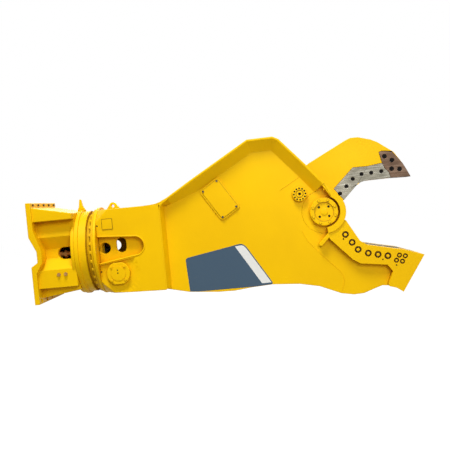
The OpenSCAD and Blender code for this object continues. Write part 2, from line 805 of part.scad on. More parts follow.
module fixed_blade_bolts() {
  color(dark) {
    for (p = bolt_path) sunk_bolt(p, blade_nut_r, blade_bolt_r, -seat_half + blade_bolt_in);
    for (p = end_bolt_path) sunk_bolt(p, end_head_r, end_bolt_r, -seat_half + end_bolt_in);
  }
}

// Nose that joins the two cheeks, with its cross blade
nose_blade_share = 1.6;
nose_blade_tilt = -28;
arc_steps = 360;
nose_points = concat([for (i = [3 : 6]) cheek_top_path[i]], [for (i = [0 : 2]) cheek_low_path[i]]);
module nose_blade_body(half) {
  intersection() {
    bar_y(pivot, -half, half, nose_r + nose_blade_t, $fn = arc_steps);
    slab(-half, half) polygon(nose_points);
    slab(-half, half) translate(cheek_top_path[5] - [nose_blade_h, 0]) rotate(nose_blade_tilt)
      translate([-nose_blade_h, -nose_blade_h]) square([nose_blade_h * 3, nose_blade_h * nose_blade_share]);
  }
}
module nose_block() {
  color(yellow) difference() {
    slab(-seat_half, seat_half) polygon(nose_points);
    bar_y(pivot, -seat_half - cut, seat_half + cut, nose_r, $fn = arc_steps);
    nose_blade_body(seat_half + cut);
  }
}
module nose_blade() {
  color(steel) difference() {
    nose_blade_body(seat_half);
    bar_y(pivot, -seat_half - cut, seat_half + cut, nose_r, $fn = arc_steps);
  }
}

// Blades of the fixed jaw, bolted inside the cheeks
blade_path = [for (i = [0 : 4]) cheek_top_path[i]];
blade_low_path = inset(blade_path, same(blade_h, blade_path));
module fixed_blade(from, to, side) {
  upper = [for (i = [from : to]) blade_path[i]];
  lower = [for (i = [to : -1 : from]) blade_low_path[i]];
  slab(side < 0 ? -seat_half : jaw_half + shear_gap, side < 0 ? -jaw_half - shear_gap : seat_half)
    polygon(concat(upper, lower));
}
module heel_blade() {
  color(steel) difference() {
    fixed_blade(0, 2, -1);
    blade_bolt_holes();
  }
}
module front_blade() {
  color(steel) difference() {
    fixed_blade(2, 4, -1);
    blade_bolt_holes();
  }
}
module blade_bolt_holes() {
  for (p = bolt_path)
    bar_y(p, -seat_half - cut, -seat_half + blade_bolt_in + side_gap, blade_bolt_r + seat_gap);
  for (p = end_bolt_path)
    bar_y(p, -seat_half - cut, -seat_half + end_bolt_in + side_gap, end_bolt_r + seat_gap);
}
module guide_blade() {
  color(steel) fixed_blade(0, 4, 1);
}

// Main pivot pin and its caps
cap_step = 8;
cap_step_share = 0.67;
cap_hole_ring_share = 0.48;
cap_hole_r = 8;
cap_hole_d = 26;
cap_screw_share = 0.84;
cap_screw_r = 7;
cap_screw_t = 3;
module main_pin() {
  color(steel) bar_y(pivot, -plate_half, plate_half, main_pin_r);
}
module main_pin_caps() {
  y0 = -plate_half - cap_t;
  color(yellow) both_sides() difference() {
    bar_y(pivot, y0, -plate_half, cap_r);
    bar_y(pivot, y0 - cut, y0 + cap_step, cap_r * cap_step_share);
    for (a = [45 : 90 : 315])
      bar_y(pivot + cap_r * cap_hole_ring_share * [cos(a), sin(a)], y0, y0 + cap_hole_d, cap_hole_r);
  }
}
module main_cap_screws() {
  y0 = -plate_half - cap_t;
  color(dark) both_sides() for (a = [0 : 45 : 315])
    bar_y(pivot + cap_r * cap_screw_share * [cos(a), sin(a)], y0 - cap_screw_t, y0, cap_screw_r);
}

// Guide pucks that bear on the lever, adjusted from outside
puck_shares = [-0.137, 0.201];
puck_at = [pivot_x + puck_shares[0] * body_l, pivot_z + puck_shares[1] * hump_h];
puck_r = 38;
puck_cover_r = 50;
puck_cover_t = 30;
puck_hole_r = 10;
puck_hole_d = 12;
puck_screw_r = 4;
puck_screw_t = 2;
puck_screw_share = 0.78;
module guide_pucks() {
  color(brass) both_sides() bar_y(puck_at, -plate_half, -lever_half - seat_gap, puck_r);
}
module puck_covers() {
  y0 = -plate_half - puck_cover_t;
  color(yellow) both_sides() difference() {
    bar_y(puck_at, y0, -plate_half, puck_cover_r);
    bar_y(puck_at, y0 - cut, y0 + puck_hole_d, puck_hole_r);
  }
}
module puck_screws() {
  y0 = -plate_half - puck_cover_t;
  color(dark) both_sides() for (a = [0 : 30 : 330])
    bar_y(puck_at + puck_cover_r * puck_screw_share * [cos(a), sin(a)], y0 - puck_screw_t, y0,
      puck_screw_r);
}

// Access covers bolted over windows in the side plates
cover_shares = [0.3745, 0.4225];
cover_w = 164;
cover_l = 262;
cover_t = 14;
cover_tilt = -57.5;
cover_at = [seam_x + cover_shares[0] * body_l, cover_shares[1] * hump_h];
cover_screw_shares = [0.42, 0.36];
cover_screw_r = 6;
cover_screw_t = 3;
module access_frame(y0, y1, grow) {
  slab(y0, y1) translate(cover_at) rotate(cover_tilt)
    translate([-cover_l / 2 - grow, -cover_w / 2 - grow]) square([cover_l + 2 * grow, cover_w + 2 * grow]);
}
module access_covers() {
  color(yellow) both_sides() access_frame(-plate_half - cover_t, -plate_half, 0);
}
module cover_screws() {
  along = cover_l * cover_screw_shares[0] * [cos(cover_tilt), sin(cover_tilt)];
  across = cover_w * cover_screw_shares[1] * [-sin(cover_tilt), cos(cover_tilt)];
  color(dark) both_sides() for (i = [-1, 1], k = [-1, 1])
    bar_y(cover_at + i * along + k * across, -plate_half - cover_t - cover_screw_t, -plate_half - cover_t,
      cover_screw_r);
}

// Plain coloured panels on the sides, with a pale stripe
panel_shares = [[0.128, -0.29], [0.482, -0.098], [0.508, -0.16], [0.652, -0.9]];
stripe_shares = [[0.44, -0.145], [0.505, -0.182], [0.645, -0.9], [0.586, -0.9]];
panel_t = 2;
module panel_outline() {
  intersection() {
    polygon(concat(placed(panel_shares, body_l, belly_d, [seam_x, 0]),
      [[seam_x + panel_shares[0][0] * body_l, -belly_d]]));
    polygon(concat([[seam_x, 0]], [[pivot_x, 0]], reversed(belly_path)));
  }
}
module stripe_outline() {
  intersection() {
    polygon(placed(stripe_shares, body_l, belly_d, [seam_x, 0]));
    panel_outline();
  }
}
module side_panels() {
  color(slate) both_sides() slab(-plate_half - panel_t, -plate_half) difference() {
    panel_outline();
    stripe_outline();
  }
}
module panel_stripes() {
  color(offwhite) both_sides() slab(-plate_half - panel_t, -plate_half) stripe_outline();
}

// Moving jaw: blade carrier, hub and the forked lever
jaw_shares = [[0.25, 0.132], [0.402, 0.326], [0.455, 0.363], [0.507, 0.379], [0.784, 0.385], [1, 0.377],
  [0.957, 0.495], [0.925, 0.574], [0.835, 0.747], [0.672, 0.902], [0.596, 0.951], [0.461, 1], [0.378, 1],
  [0.315, 0.969], [-0.113, 0.692], [-0.3, 0.265], [-0.34, 0], [-0.22, -0.23], [0, 0]];
jaw_heel_shares = [[0.25, 0.132], [0.417, 0.342], [0.537, 0.576], [0.378, 0.578], [0.148, 0.303]];
jaw_front_shares = [[0.417, 0.342], [0.455, 0.363], [0.507, 0.379], [0.784, 0.385], [0.765, 0.47],
  [0.725, 0.523], [0.701, 0.603], [0.537, 0.576]];
tip_shares = [[0.784, 0.385], [1, 0.377], [0.957, 0.495], [0.925, 0.574], [0.816, 0.752], [0.701, 0.772],
  [0.674, 0.758], [0.701, 0.603], [0.725, 0.523], [0.765, 0.47]];
jaw_screw_shares = [[0.212, 0.226], [0.289, 0.322], [0.367, 0.417], [0.466, 0.475], [0.574, 0.479],
  [0.685, 0.487]];
tip_screw_shares = [[0.733, 0.693], [0.81, 0.63], [0.799, 0.51], [0.885, 0.495]];
jaw_blade_t = 45;
jaw_screw_r = 13;
jaw_screw_sink = 8;
jaw_screw_l = 67;
tip_screw_r = 15;
rod_gap_half = 72.5;
lever_t = 45;
lever_half = rod_gap_half + lever_t;
lever_angle = 179;
lever_tip_r = 95;
rod_pin_at = pivot + lever_l * [cos(lever_angle), sin(lever_angle)];
function jaw_points(shares) = placed(shares, jaw_reach, jaw_rise, pivot);
module screw_holes(shares, y1, r) {
  for (p = jaw_points(shares)) bar_y(p, -jaw_half - cut, y1, r + seat_gap);
}
module moving_jaw() {
  color(yellow) difference() {
    union() {
      slab(-jaw_half, jaw_half) polygon(jaw_points(jaw_shares));
      bar_y(pivot, -seat_half + side_gap, seat_half - side_gap, hub_r);
      both_sides() slab(-lever_half, -rod_gap_half) link(pivot, hub_r, rod_pin_at, lever_tip_r);
    }
    bar_y(pivot, -seat_half - cut, seat_half + cut, main_pin_r + bush_t);
    bar_y(rod_pin_at, -lever_half - cut, lever_half + cut, rod_pin_r + fit_gap);
    slab(-jaw_half - cut, -jaw_half + jaw_blade_t) polygon(jaw_points(jaw_heel_shares));
    slab(-jaw_half - cut, -jaw_half + jaw_blade_t) polygon(jaw_points(jaw_front_shares));
    slab(-jaw_half - cut, jaw_half + cut) polygon(jaw_points(tip_shares));
    screw_holes(jaw_screw_shares, -jaw_half + jaw_screw_sink + jaw_screw_l + side_gap, jaw_screw_r);
  }
}
module jaw_bush() {
  color(brass) difference() {
    bar_y(pivot, -seat_half + side_gap, seat_half - side_gap, main_pin_r + bush_t);
    bar_y(pivot, -seat_half - cut, seat_half + cut, main_pin_r + fit_gap);
  }
}
module jaw_blade_piece(shares) {
  color(steel) difference() {
    slab(-jaw_half, -jaw_half + jaw_blade_t) polygon(jaw_points(shares));
    screw_holes(jaw_screw_shares, -jaw_half + jaw_blade_t + cut, jaw_screw_r);
  }
}
module jaw_heel_blade() { jaw_blade_piece(jaw_heel_shares); }
module jaw_front_blade() { jaw_blade_piece(jaw_front_shares); }
module piercing_tip() {
  color("#7d6350") difference() {
    slab(-jaw_half, jaw_half) polygon(jaw_points(tip_shares));
    screw_holes(tip_screw_shares, jaw_half + cut, tip_screw_r);
  }
}
module jaw_blade_screws() {
  y0 = -jaw_half + jaw_screw_sink;
  color(dark) {
    for (p = jaw_points(jaw_screw_shares)) bar_y(p, y0, y0 + jaw_screw_l, jaw_screw_r);
    for (p = jaw_points(tip_screw_shares)) bar_y(p, y0, -y0, tip_screw_r);
  }
}
pin_head_r = 64;
pin_head_t = 10;
module lever_pin_ends() {
  color(steel) both_sides() {
    bar_y(rod_pin_at, -lever_half - lap, -rod_gap_half, rod_pin_r);
    bar_y(rod_pin_at, -lever_half - pin_head_t, -lever_half, pin_head_r);
  }
}

// Cylinder, drawn along X from its base pin and then tilted to the rod pin
cyl_run = rod_pin_at - base_pin_at;
cyl_length = norm(cyl_run);
barrel_l = cyl_length - rod_show;
cyl_angle = atan2(cyl_run[1], cyl_run[0]);
base_eye_r = 86;
base_eye_in = 84;
base_eye_half = barrel_r;
barrel_x0 = 60;
base_cap_end = 150;
gland_l = 90;
gland_in = 4;
rod_eye_r = 88;
rod_eye_half = rod_gap_half - side_gap;
piston_x = 172;
piston_l = 70;
module on_cylinder() {
  translate([base_pin_at[0], 0, base_pin_at[1]]) rotate([0, -cyl_angle, 0]) children();
}
module cylinder_barrel() {
  color(yellow) on_cylinder() difference() {
    union() {
      bar_x(barrel_x0, barrel_l - gland_l, barrel_r);
      bar_y([0, 0], -base_eye_half, base_eye_half, base_eye_r);
      translate([0, -base_eye_half, -base_eye_in])
        cube([barrel_x0 + lap, base_eye_half * 2, base_eye_in * 2]);
    }
    bar_x(base_cap_end, barrel_l, barrel_r - barrel_wall);
    bar_y([0, 0], -base_eye_half - cut, base_eye_half + cut, base_pin_r + fit_gap);
  }
}
module cylinder_gland() {
  color(dark) on_cylinder() difference() {
    bar_x(barrel_l - gland_l, barrel_l, barrel_r - gland_in);
    bar_x(barrel_l - gland_l - cut, barrel_l + cut, rod_r + fit_gap);
  }
}
module cylinder_rod() {
  color("#c8ccd0") on_cylinder() difference() {
    union() {
      bar_x(piston_x, cyl_length - rod_eye_r / 2, rod_r);
      bar_y([cyl_length, 0], -rod_eye_half, rod_eye_half, rod_eye_r);
    }
    bar_y([cyl_length, 0], -rod_eye_half - cut, rod_eye_half + cut, rod_pin_r + fit_gap);
  }
}
module rod_pin_centre() {
  color(steel) on_cylinder() bar_y([cyl_length, 0], -rod_eye_half, rod_eye_half, rod_pin_r);
}
module cylinder_piston() {
  color(steel) on_cylinder() difference() {
    bar_x(piston_x, piston_x + piston_l, barrel_r - barrel_wall - fit_gap);
    bar_x(piston_x - cut, piston_x + piston_l + cut, rod_r);
  }
}

head_casting();
head_top_screws();
head_port_fittings();
head_hoses();
slew_motor();
swivel_core();
slew_outer_ring();
slew_outer_screws();
slew_balls();
ring_lug();
grease_nipples();
slew_pinion();
slew_inner_ring();
slew_bolts();
swivel_housing();
neck_flange();
neck_box();
lifting_eye();
type_plate();
speed_valve();
neck_hoses();
base_pin();
base_pin_caps();
base_cap_screws();
near_side_plate();
far_side_plate();
side_rims();
roof_plate();
belly_plate();
throat_plate();
near_jaw_cheek();
far_jaw_cheek();
nose_block();
nose_blade();
heel_blade();
front_blade();
guide_blade();
fixed_blade_bolts();
main_pin();
main_pin_caps();
main_cap_screws();
guide_pucks();
puck_covers();
puck_screws();
access_covers();
cover_screws();
side_panels();
panel_stripes();
moving_jaw();
jaw_bush();
jaw_heel_blade();
jaw_front_blade();
piercing_tip();
jaw_blade_screws();
lever_pin_ends();
cylinder_barrel();
cylinder_gland();
cylinder_rod();
rod_pin_centre();
cylinder_piston();
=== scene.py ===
"""Looks for a rotating scrap shear: paint, bare steel, blades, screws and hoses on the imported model."""
import math

import bmesh
import bpy
import numpy as np
from mathutils import Matrix, Vector


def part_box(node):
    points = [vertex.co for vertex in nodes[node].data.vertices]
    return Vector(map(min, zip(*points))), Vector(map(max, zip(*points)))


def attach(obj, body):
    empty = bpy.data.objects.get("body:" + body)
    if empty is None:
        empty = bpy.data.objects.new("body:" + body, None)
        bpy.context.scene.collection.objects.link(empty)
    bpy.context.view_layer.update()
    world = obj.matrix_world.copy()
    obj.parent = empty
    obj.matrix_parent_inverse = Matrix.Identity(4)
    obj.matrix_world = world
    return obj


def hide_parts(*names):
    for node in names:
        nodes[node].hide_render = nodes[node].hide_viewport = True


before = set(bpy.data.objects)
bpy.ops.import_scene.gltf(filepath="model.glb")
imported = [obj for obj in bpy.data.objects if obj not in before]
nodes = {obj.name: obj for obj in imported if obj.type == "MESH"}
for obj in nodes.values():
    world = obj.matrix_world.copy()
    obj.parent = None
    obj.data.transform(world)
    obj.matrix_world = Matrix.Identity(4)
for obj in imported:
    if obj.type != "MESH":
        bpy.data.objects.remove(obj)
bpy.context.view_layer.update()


# Camera
# The shear was photographed from its side, a little right of its middle, with a long lens.
# The across direction vanishes a little up and right of the picture's centre, in pixels from it.
photo_size = 450
focal_pixels = 700.0
across_vanishes = (37.0, -22.0)
camera_roll = math.radians(5.3)
camera_place = (1.61075, -4.995, 0.22869)
sensor_width = 36.0
nearest_seen, farthest_seen = 0.1, 60.0


def photo_axes():
    """Camera's right, down and forward directions in the row frame, as rows.

    The picture's across direction is the unit vector to its vanishing point. The along direction is the
    level one turned by the roll and tilted until it is square to the first, and up is their cross product.
    The three are columns of the turn from the row frame to the camera, so its rows are the answer."""
    across = np.array([*across_vanishes, focal_pixels])
    across /= np.linalg.norm(across)
    c, s = math.cos(camera_roll), math.sin(camera_roll)
    along = np.array([c, -s, -(c * across[0] - s * across[1]) / across[2]])
    along /= np.linalg.norm(along)
    return np.stack([along, across, np.cross(along, across)], axis=1)


right, down, forward = photo_axes()
lens = bpy.data.cameras.new("photo_lens")
lens.sensor_width = sensor_width
lens.lens = focal_pixels / photo_size * sensor_width
lens.clip_start, lens.clip_end = nearest_seen, farthest_seen
camera = bpy.data.objects.new("photo_camera", lens)
turn = Matrix((right, -down, -forward)).transposed().to_4x4()
camera.matrix_world = Matrix.Translation(camera_place) @ turn
bpy.context.scene.collection.objects.link(camera)
bpy.context.scene.camera = camera
bpy.context.scene.view_settings.view_transform = "Standard"


# Studio floor and light
# The shear hangs over a plain pale floor. A soft lamp lights it from above, one by the camera, one from
# behind. Floor and sky look white to the camera and in reflections, and only fill softly otherwise.
class Wire:
    """One output of a node, which can stand in Python sums, so that 1 - mask adds its Math node."""

    def __init__(self, finish, socket):
        self.finish, self.socket = finish, socket

    def sum(self, operation, *terms):
        return self.finish.node("ShaderNodeMath", {"operation": operation}, dict(enumerate(terms)))

    def __add__(self, other):
        return self.sum("ADD", self, other)

    def __radd__(self, other):
        return self.sum("ADD", other, self)

    def __sub__(self, other):
        return self.sum("SUBTRACT", self, other)

    def __rsub__(self, other):
        return self.sum("SUBTRACT", other, self)

    def __mul__(self, other):
        return self.sum("MULTIPLY", self, other)

    def __rmul__(self, other):
        return self.sum("MULTIPLY", other, self)

    def most(self, other):
        return self.sum("MAXIMUM", self, other)

    def ramp(self, low, high):
        """0 below low, 1 above high, and even between."""
        return self.finish.node("ShaderNodeMapRange", {}, {"Value": self, "From Min": low, "From Max": high})


class Finish:
    """A material or a world, whose nodes all come from one method that gives back a wire."""

    def __init__(self, owner, patterned=True):
        self.owner = owner
        owner.use_nodes = True
        owner.node_tree.nodes.clear()
        if patterned:
            self.place = self.node("ShaderNodeTexCoord", out="Object")

    def node(self, kind, settings=None, sockets=None, out=0):
        """Adds a node: its settings first, then the value or the link of each of its sockets."""
        made = self.owner.node_tree.nodes.new(kind)
        for key, value in (settings or {}).items():
            setattr(made, key, value)
        for key, value in (sockets or {}).items():
            if isinstance(value, Wire):
                self.owner.node_tree.links.new(value.socket, made.inputs[key])
            else:
                made.inputs[key].default_value = (*value, 1.0) if made.inputs[key].type == "RGBA" else value
        return Wire(self, made.outputs[out] if len(made.outputs) else None)

    def noise(self, scale, detail, stretch=(1.0, 1.0, 1.0), tilt=(0.0, 0.0, 0.0)):
        """Noise with that many blotches a metre, turned and then stretched."""
        place = self.node("ShaderNodeMapping", {}, {"Vector": self.place, "Scale": stretch, "Rotation": tilt})
        return self.node("ShaderNodeTexNoise", {}, {"Vector": place, "Scale": scale, "Detail": detail})

    def tint(self, plain, other, mask):
        """The plain colour where the mask is 0, the other where it is 1, and a mix between."""
        return self.node("ShaderNodeMix", {"data_type": "RGBA"}, {0: mask, 6: plain, 7: other}, out=2)

    def bump(self, height, distance, strength):
        """A normal tilted by the slope of the height, which stands for that distance in metres."""
        return self.node("ShaderNodeBump", {}, {"Height": height, "Distance": distance, "Strength": strength})

    def edges(self, radius):
        """0 on flats and more on edges sharper than that radius: 1 less the dot product of a softened
        normal and the real one."""
        soft = self.node("ShaderNodeBevel", {"samples": 4}, {"Radius": radius})
        hard = self.node("ShaderNodeNewGeometry", out="Normal")
        settings, normals = {"operation": "DOT_PRODUCT"}, {0: soft, 1: hard}
        return 1 - self.node("ShaderNodeVectorMath", settings, normals, out="Value")

    def hollows(self, reach):
        """1 deep in corners and hollows no wider than that reach, 0 in the open."""
        return 1 - self.node("ShaderNodeAmbientOcclusion", {"samples": 6}, {"Distance": reach}, out="AO")

    def painted(self, **sockets):
        """Ends in a Principled shader, whose sockets are named with _ for a space."""
        named = {key.replace("_", " "): value for key, value in sockets.items()}
        shader = self.node("ShaderNodeBsdfPrincipled", {}, named)
        self.node("ShaderNodeOutputMaterial", {}, {"Surface": shader})
        return self.owner

    def for_eye(self, plain, seen):
        """One shader for the light that falls on things, another for the camera, mirrors and glass."""
        ray_kinds = ("Is Camera Ray", "Is Glossy Ray", "Is Transmission Ray")
        to_camera, to_mirror, to_glass = (self.node("ShaderNodeLightPath", out=kind) for kind in ray_kinds)
        eye = to_camera.most(to_mirror).most(to_glass)
        return self.node("ShaderNodeMixShader", {}, {0: eye, 1: plain, 2: seen})


def linear(red, green, blue):
    """Scene colour of an sRGB colour in steps of 255: the screen's curve undone, each channel by itself."""
    share = np.array([red, green, blue]) / 255.0
    return tuple(np.where(share <= 0.04045, share / 12.92, ((share + 0.055) / 1.055) ** 2.4))


pure_white = linear(255, 255, 255)
fill_level, seen_level = 0.3, 1.0
sky = Finish(bpy.data.worlds.new("pale_studio"), patterned=False)
plain_sky = sky.node("ShaderNodeBackground", {}, {"Color": pure_white, "Strength": fill_level})
white_sky = sky.node("ShaderNodeBackground", {}, {"Color": pure_white, "Strength": seen_level})
sky.node("ShaderNodeOutputWorld", {}, {"Surface": sky.for_eye(plain_sky, white_sky)})
bpy.context.scene.world = sky.owner

floor_height, floor_half = -0.86, 30.0
glow_strength, glow_share = 1.12, 0.86
corners = np.array([(-1, -1), (1, -1), (1, 1), (-1, 1)]) * floor_half
floor_mesh = bpy.data.meshes.new("studio_floor")
floor_mesh.from_pydata(np.column_stack([corners, np.full(4, floor_height)]).tolist(), [], [(0, 1, 2, 3)])
floor = bpy.data.objects.new("studio_floor", floor_mesh)
bpy.context.scene.collection.objects.link(floor)
ground = Finish(bpy.data.materials.new("pale_floor"), patterned=False)
pale = ground.node("ShaderNodeBsdfDiffuse", {}, {"Color": linear(238, 238, 238)})
glow = ground.node("ShaderNodeEmission", {}, {"Color": pure_white, "Strength": glow_strength})
seen_floor = ground.node("ShaderNodeMixShader", {}, {0: glow_share, 1: pale, 2: glow})
dull = ground.node("ShaderNodeBsdfDiffuse", {}, {"Color": linear(150, 148, 142)})
ground.node("ShaderNodeOutputMaterial", {}, {"Surface": ground.for_eye(dull, seen_floor)})
floor_mesh.materials.append(ground.owner)


def soft_lamp(name, place, aim, size, watts):
    """A square lamp whose own -Z looks from its place to its aim."""
    lamp = bpy.data.lights.new(name, "AREA")
    lamp.shape, lamp.size, lamp.energy = "SQUARE", size, watts
    stand = bpy.data.objects.new(name, lamp)
    look = Vector(aim) - Vector(place)
    stand.matrix_world = Matrix.Translation(place) @ look.to_track_quat("-Z", "Y").to_matrix().to_4x4()
    bpy.context.scene.collection.objects.link(stand)


soft_lamp("lamp_above", place=(0.7, -2.9, 6.0), aim=(1.3, 0.0, 0.0), size=2.2, watts=385.0)
soft_lamp("lamp_by_camera", place=(3.2, -5.6, 2.2), aim=(1.4, 0.0, 0.1), size=2.2, watts=145.0)
soft_lamp("lamp_behind", place=(0.4, 5.2, 2.6), aim=(1.4, 0.0, 0.1), size=3.0, watts=130.0)


# Head casting
# One steel casting: the machine flange, a waisted middle with a window in each side, and a round end.
# It is sprayed with machine enamel; its colour has painted shade in the corners and a painted highlight on
# the edges.
def machine_paint(name, colour, deep_tone_and_shade, gloss):
    """Sprayed enamel: the deep tone in soft clouds and a few specks, the deep tone again as painted shade in
    corners, a paler tone as a painted highlight on edges, which are also a little glossier, and a fine
    orange-peel bump."""
    paint = Finish(bpy.data.materials.new(name))
    cloud = paint.noise(2.4, detail=4.0).ramp(0.32, 0.72)
    specks = paint.noise(160.0, detail=2.0).ramp(0.68, 0.78)
    # Painted shade: the deep tone laid into corners and hollows by ambient occlusion.
    corner_shade = paint.hollows(reach=0.07).ramp(0.25, 0.95)
    # Painted highlight: a paler tone on the edges, which are also made a little glossier.
    edge_wear_and_highlight = paint.edges(radius=0.004).ramp(0.02, 0.25) * 0.35
    edge_highlight_tone = tuple(min(1.0, 1.12 * c + 0.03) for c in colour)
    dirty = tuple(0.55 * c for c in deep_tone_and_shade)
    tone = paint.tint(colour, deep_tone_and_shade, cloud * 0.14)
    tone = paint.tint(tone, deep_tone_and_shade, corner_shade * 0.75)
    tone = paint.tint(tone, edge_highlight_tone, edge_wear_and_highlight * 0.35)
    tone = paint.tint(tone, dirty, specks * 0.05)
    peel = paint.bump(paint.noise(420.0, detail=2.0), distance=0.00012, strength=0.5)
    rough = gloss + cloud * 0.12 - edge_wear_and_highlight * 0.1
    return paint.painted(Base_Color=tone, Roughness=rough, Specular_IOR_Level=0.1, Normal=peel)


yellow_paint = machine_paint("yellow_paint", linear(250, 199, 0), linear(174, 96, 0), 0.4)


def steel(name, colour, worn, rough, streak_tilt=0.0, bare=1.0, shine=0.5, blotch=0.55):
    """Ground or rolled steel: fine scratches along one direction, cloudy stain, brighter worn edges."""
    metal = Finish(bpy.data.materials.new(name))
    streaks = metal.noise(90.0, detail=5.0, stretch=(0.12, 1.0, 3.0), tilt=(0.0, streak_tilt, 0.0))
    stain = metal.noise(9.0, detail=6.0).ramp(0.38, 0.7)
    edge_wear_and_highlight = metal.edges(radius=0.003).ramp(0.02, 0.25)
    stained = tuple(0.62 * c for c in colour)
    tone = metal.tint(colour, stained, stain * blotch)
    tone = metal.tint(tone, worn, streaks.ramp(0.5, 0.72) * 0.35)
    tone = metal.tint(tone, worn, edge_wear_and_highlight * 0.7)
    scratched = metal.bump(streaks, distance=0.0003, strength=0.6)
    return metal.painted(Base_Color=tone, Metallic=bare, Specular_IOR_Level=shine,
                         Roughness=rough + stain * 0.15 - streaks * 0.1, Normal=scratched)


dark_steel = steel("dark_steel", linear(62, 61, 60), linear(120, 118, 112), 0.5, bare=0.7)
bronze = steel("bronze", linear(176, 132, 78), linear(215, 180, 120), 0.36)


def dress(finish, edge, *names):
    """Gives CAD nodes their finish and rounds their edges by that width, without touching their points.

    The loose triangles are joined and flat faces made whole first, so that only true edges are rounded."""
    same_point, flat_angle, edge_angle = 0.00002, math.radians(0.6), math.radians(32.0)
    for name in names:
        node = nodes[name]
        node.data.materials.clear()
        node.data.materials.append(finish)
        node.data.polygons.foreach_set("use_smooth", np.ones(len(node.data.polygons), dtype=bool))
        weld = node.modifiers.new("joined", "WELD")
        weld.merge_threshold = same_point
        flats = node.modifiers.new("flats", "DECIMATE")
        flats.decimate_type, flats.angle_limit = "DISSOLVE", flat_angle
        if edge:
            round_off = node.modifiers.new("rounded", "BEVEL")
            round_off.width, round_off.segments = edge, 2
            round_off.limit_method, round_off.angle_limit = "ANGLE", edge_angle
            round_off.use_clamp_overlap = False
            round_off.miter_outer = "MITER_ARC"
        even = node.modifiers.new("even", "WEIGHTED_NORMAL")
        even.keep_sharp = True


dress(yellow_paint, 0.004, "head_casting")
dress(dark_steel, 0.0, "head_top_screws", "slew_motor", "swivel_core")
dress(bronze, 0.0, "head_port_fittings", "grease_nipples")


# Slew ring
# A fixed outer ring and a turning inner ring, forged steel, machined and sprayed with the rest.
# Thirty hexagon bolts on flat washers clamp the turning ring to the neck flange, paint over heads and all.
def inset(points, distance):
    """Closed outline moved inwards: each corner goes along the sum of its two side normals,
    lengthened by one over the cosine of half the turn. Works for an anticlockwise outline."""
    no_length, sharpest = 1e-12, 0.35
    side = np.roll(points, -1, 0) - points
    side /= np.linalg.norm(side, axis=1, keepdims=True) + no_length
    normal = np.column_stack([-side[:, 1], side[:, 0]])
    both = normal + np.roll(normal, 1, 0)
    return points + distance * both / np.maximum((both * both).sum(1, keepdims=True) / 2, sharpest)


def rings(grid):
    """Closed skin over a grid of rings (ring, point, xyz): quads between neighbouring rings,
    joined round each ring, and one flat face over the first and the last ring."""
    count, around = grid.shape[:2]
    at = np.arange(count * around).reshape(count, around)
    ahead = np.roll(at, -1, 1)
    quads = np.stack([at[:-1], ahead[:-1], ahead[1:], at[1:]], -1).reshape(-1, 4).tolist()
    return grid.reshape(-1, 3), quads + [at[0, ::-1].tolist(), at[-1].tolist()]


def plate(outline, low, high, edge, steps=3):
    """Flat plate in local x and y from low to high in z, with its edges rounded by a quarter circle:
    ring k of an edge is the outline inset by edge(1 - sin a) at a height of edge(1 - cos a) from the face."""
    outline = np.asarray(outline, float)
    after = np.roll(outline, -1, 0)
    if (outline[:, 0] * after[:, 1] - after[:, 0] * outline[:, 1]).sum() < 0:
        outline = outline[::-1]
    a = np.linspace(0, math.pi / 2, steps)
    inwards = edge * (1 - np.sin(a))
    up = edge * (1 - np.cos(a))
    stack = [*zip(inwards, low + up), *zip(inwards[::-1], high - up[::-1])]
    return rings(np.stack([np.column_stack([inset(outline, i), np.full(len(outline), z)]) for i, z in stack]))


def turned(profile, around):
    """Turned part about local z: the profile's (radius, height) points carried round a full circle."""
    profile = np.asarray(profile, float)
    a = np.linspace(0, 2 * math.pi, around, endpoint=False)
    r, z = profile[:, :1], profile[:, 1:]
    return rings(np.stack([r * np.cos(a), r * np.sin(a), np.broadcast_to(z, (len(profile), around))], -1))


def joined(*shapes):
    """Several skins as one, with the face numbers of each moved past the points before it."""
    points, faces, start = [], [], 0
    for shape_points, shape_faces in shapes:
        points.append(shape_points)
        faces += [[start + i for i in face] for face in shape_faces]
        start += len(shape_points)
    return np.concatenate(points), faces


def moved(shape, *places):
    """Copies of a shape under each 4x4 place, joined."""
    points = np.column_stack([shape[0], np.ones(len(shape[0]))])
    return joined(*[((points @ np.asarray(place, float).T)[:, :3], shape[1]) for place in places])


def around_axis(x, radius, angles):
    """Places round the slew axis: local z along -X towards the machine, local y away from the axis."""
    return [[[0, 0, -1, x], [-math.cos(a), -math.sin(a), 0, -radius * math.sin(a)],
             [-math.sin(a), math.cos(a), 0, radius * math.cos(a)], [0, 0, 0, 1]] for a in angles]


def add(name, shape, finish, body, *replaced, slot="yellow_paint", crisp=40.0):
    """Makes a piece from a skin: merges its doubles, turns its faces outwards, shades it smooth except where
    faces meet at more than the crisp angle, and gives it its finish, body and nodes. The slot is not used."""
    same_point = 1e-6
    mesh = bpy.data.meshes.new(name)
    mesh.from_pydata(shape[0].tolist(), [], shape[1])
    skin = bmesh.new()
    skin.from_mesh(mesh)
    bmesh.ops.remove_doubles(skin, verts=skin.verts, dist=same_point)
    bmesh.ops.recalc_face_normals(skin, faces=skin.faces)
    for seam in skin.edges:
        seam.smooth = len(seam.link_faces) == 2 and seam.calc_face_angle(0.0) < math.radians(crisp)
    for face in skin.faces:
        face.smooth = True
    skin.to_mesh(mesh)
    skin.free()
    mesh.materials.append(finish)
    piece = bpy.data.objects.new(name, mesh)
    bpy.context.scene.collection.objects.link(piece)
    even = piece.modifiers.new("even", "WEIGHTED_NORMAL")
    even.keep_sharp = True
    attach(piece, body)
    if replaced:
        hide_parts(*replaced)


def hexagon(radius):
    """Six points at that radius: (r cos a, r sin a) at every 60 degrees."""
    a = np.arange(6) * math.pi / 3
    return np.column_stack([radius * np.cos(a), radius * np.sin(a)])


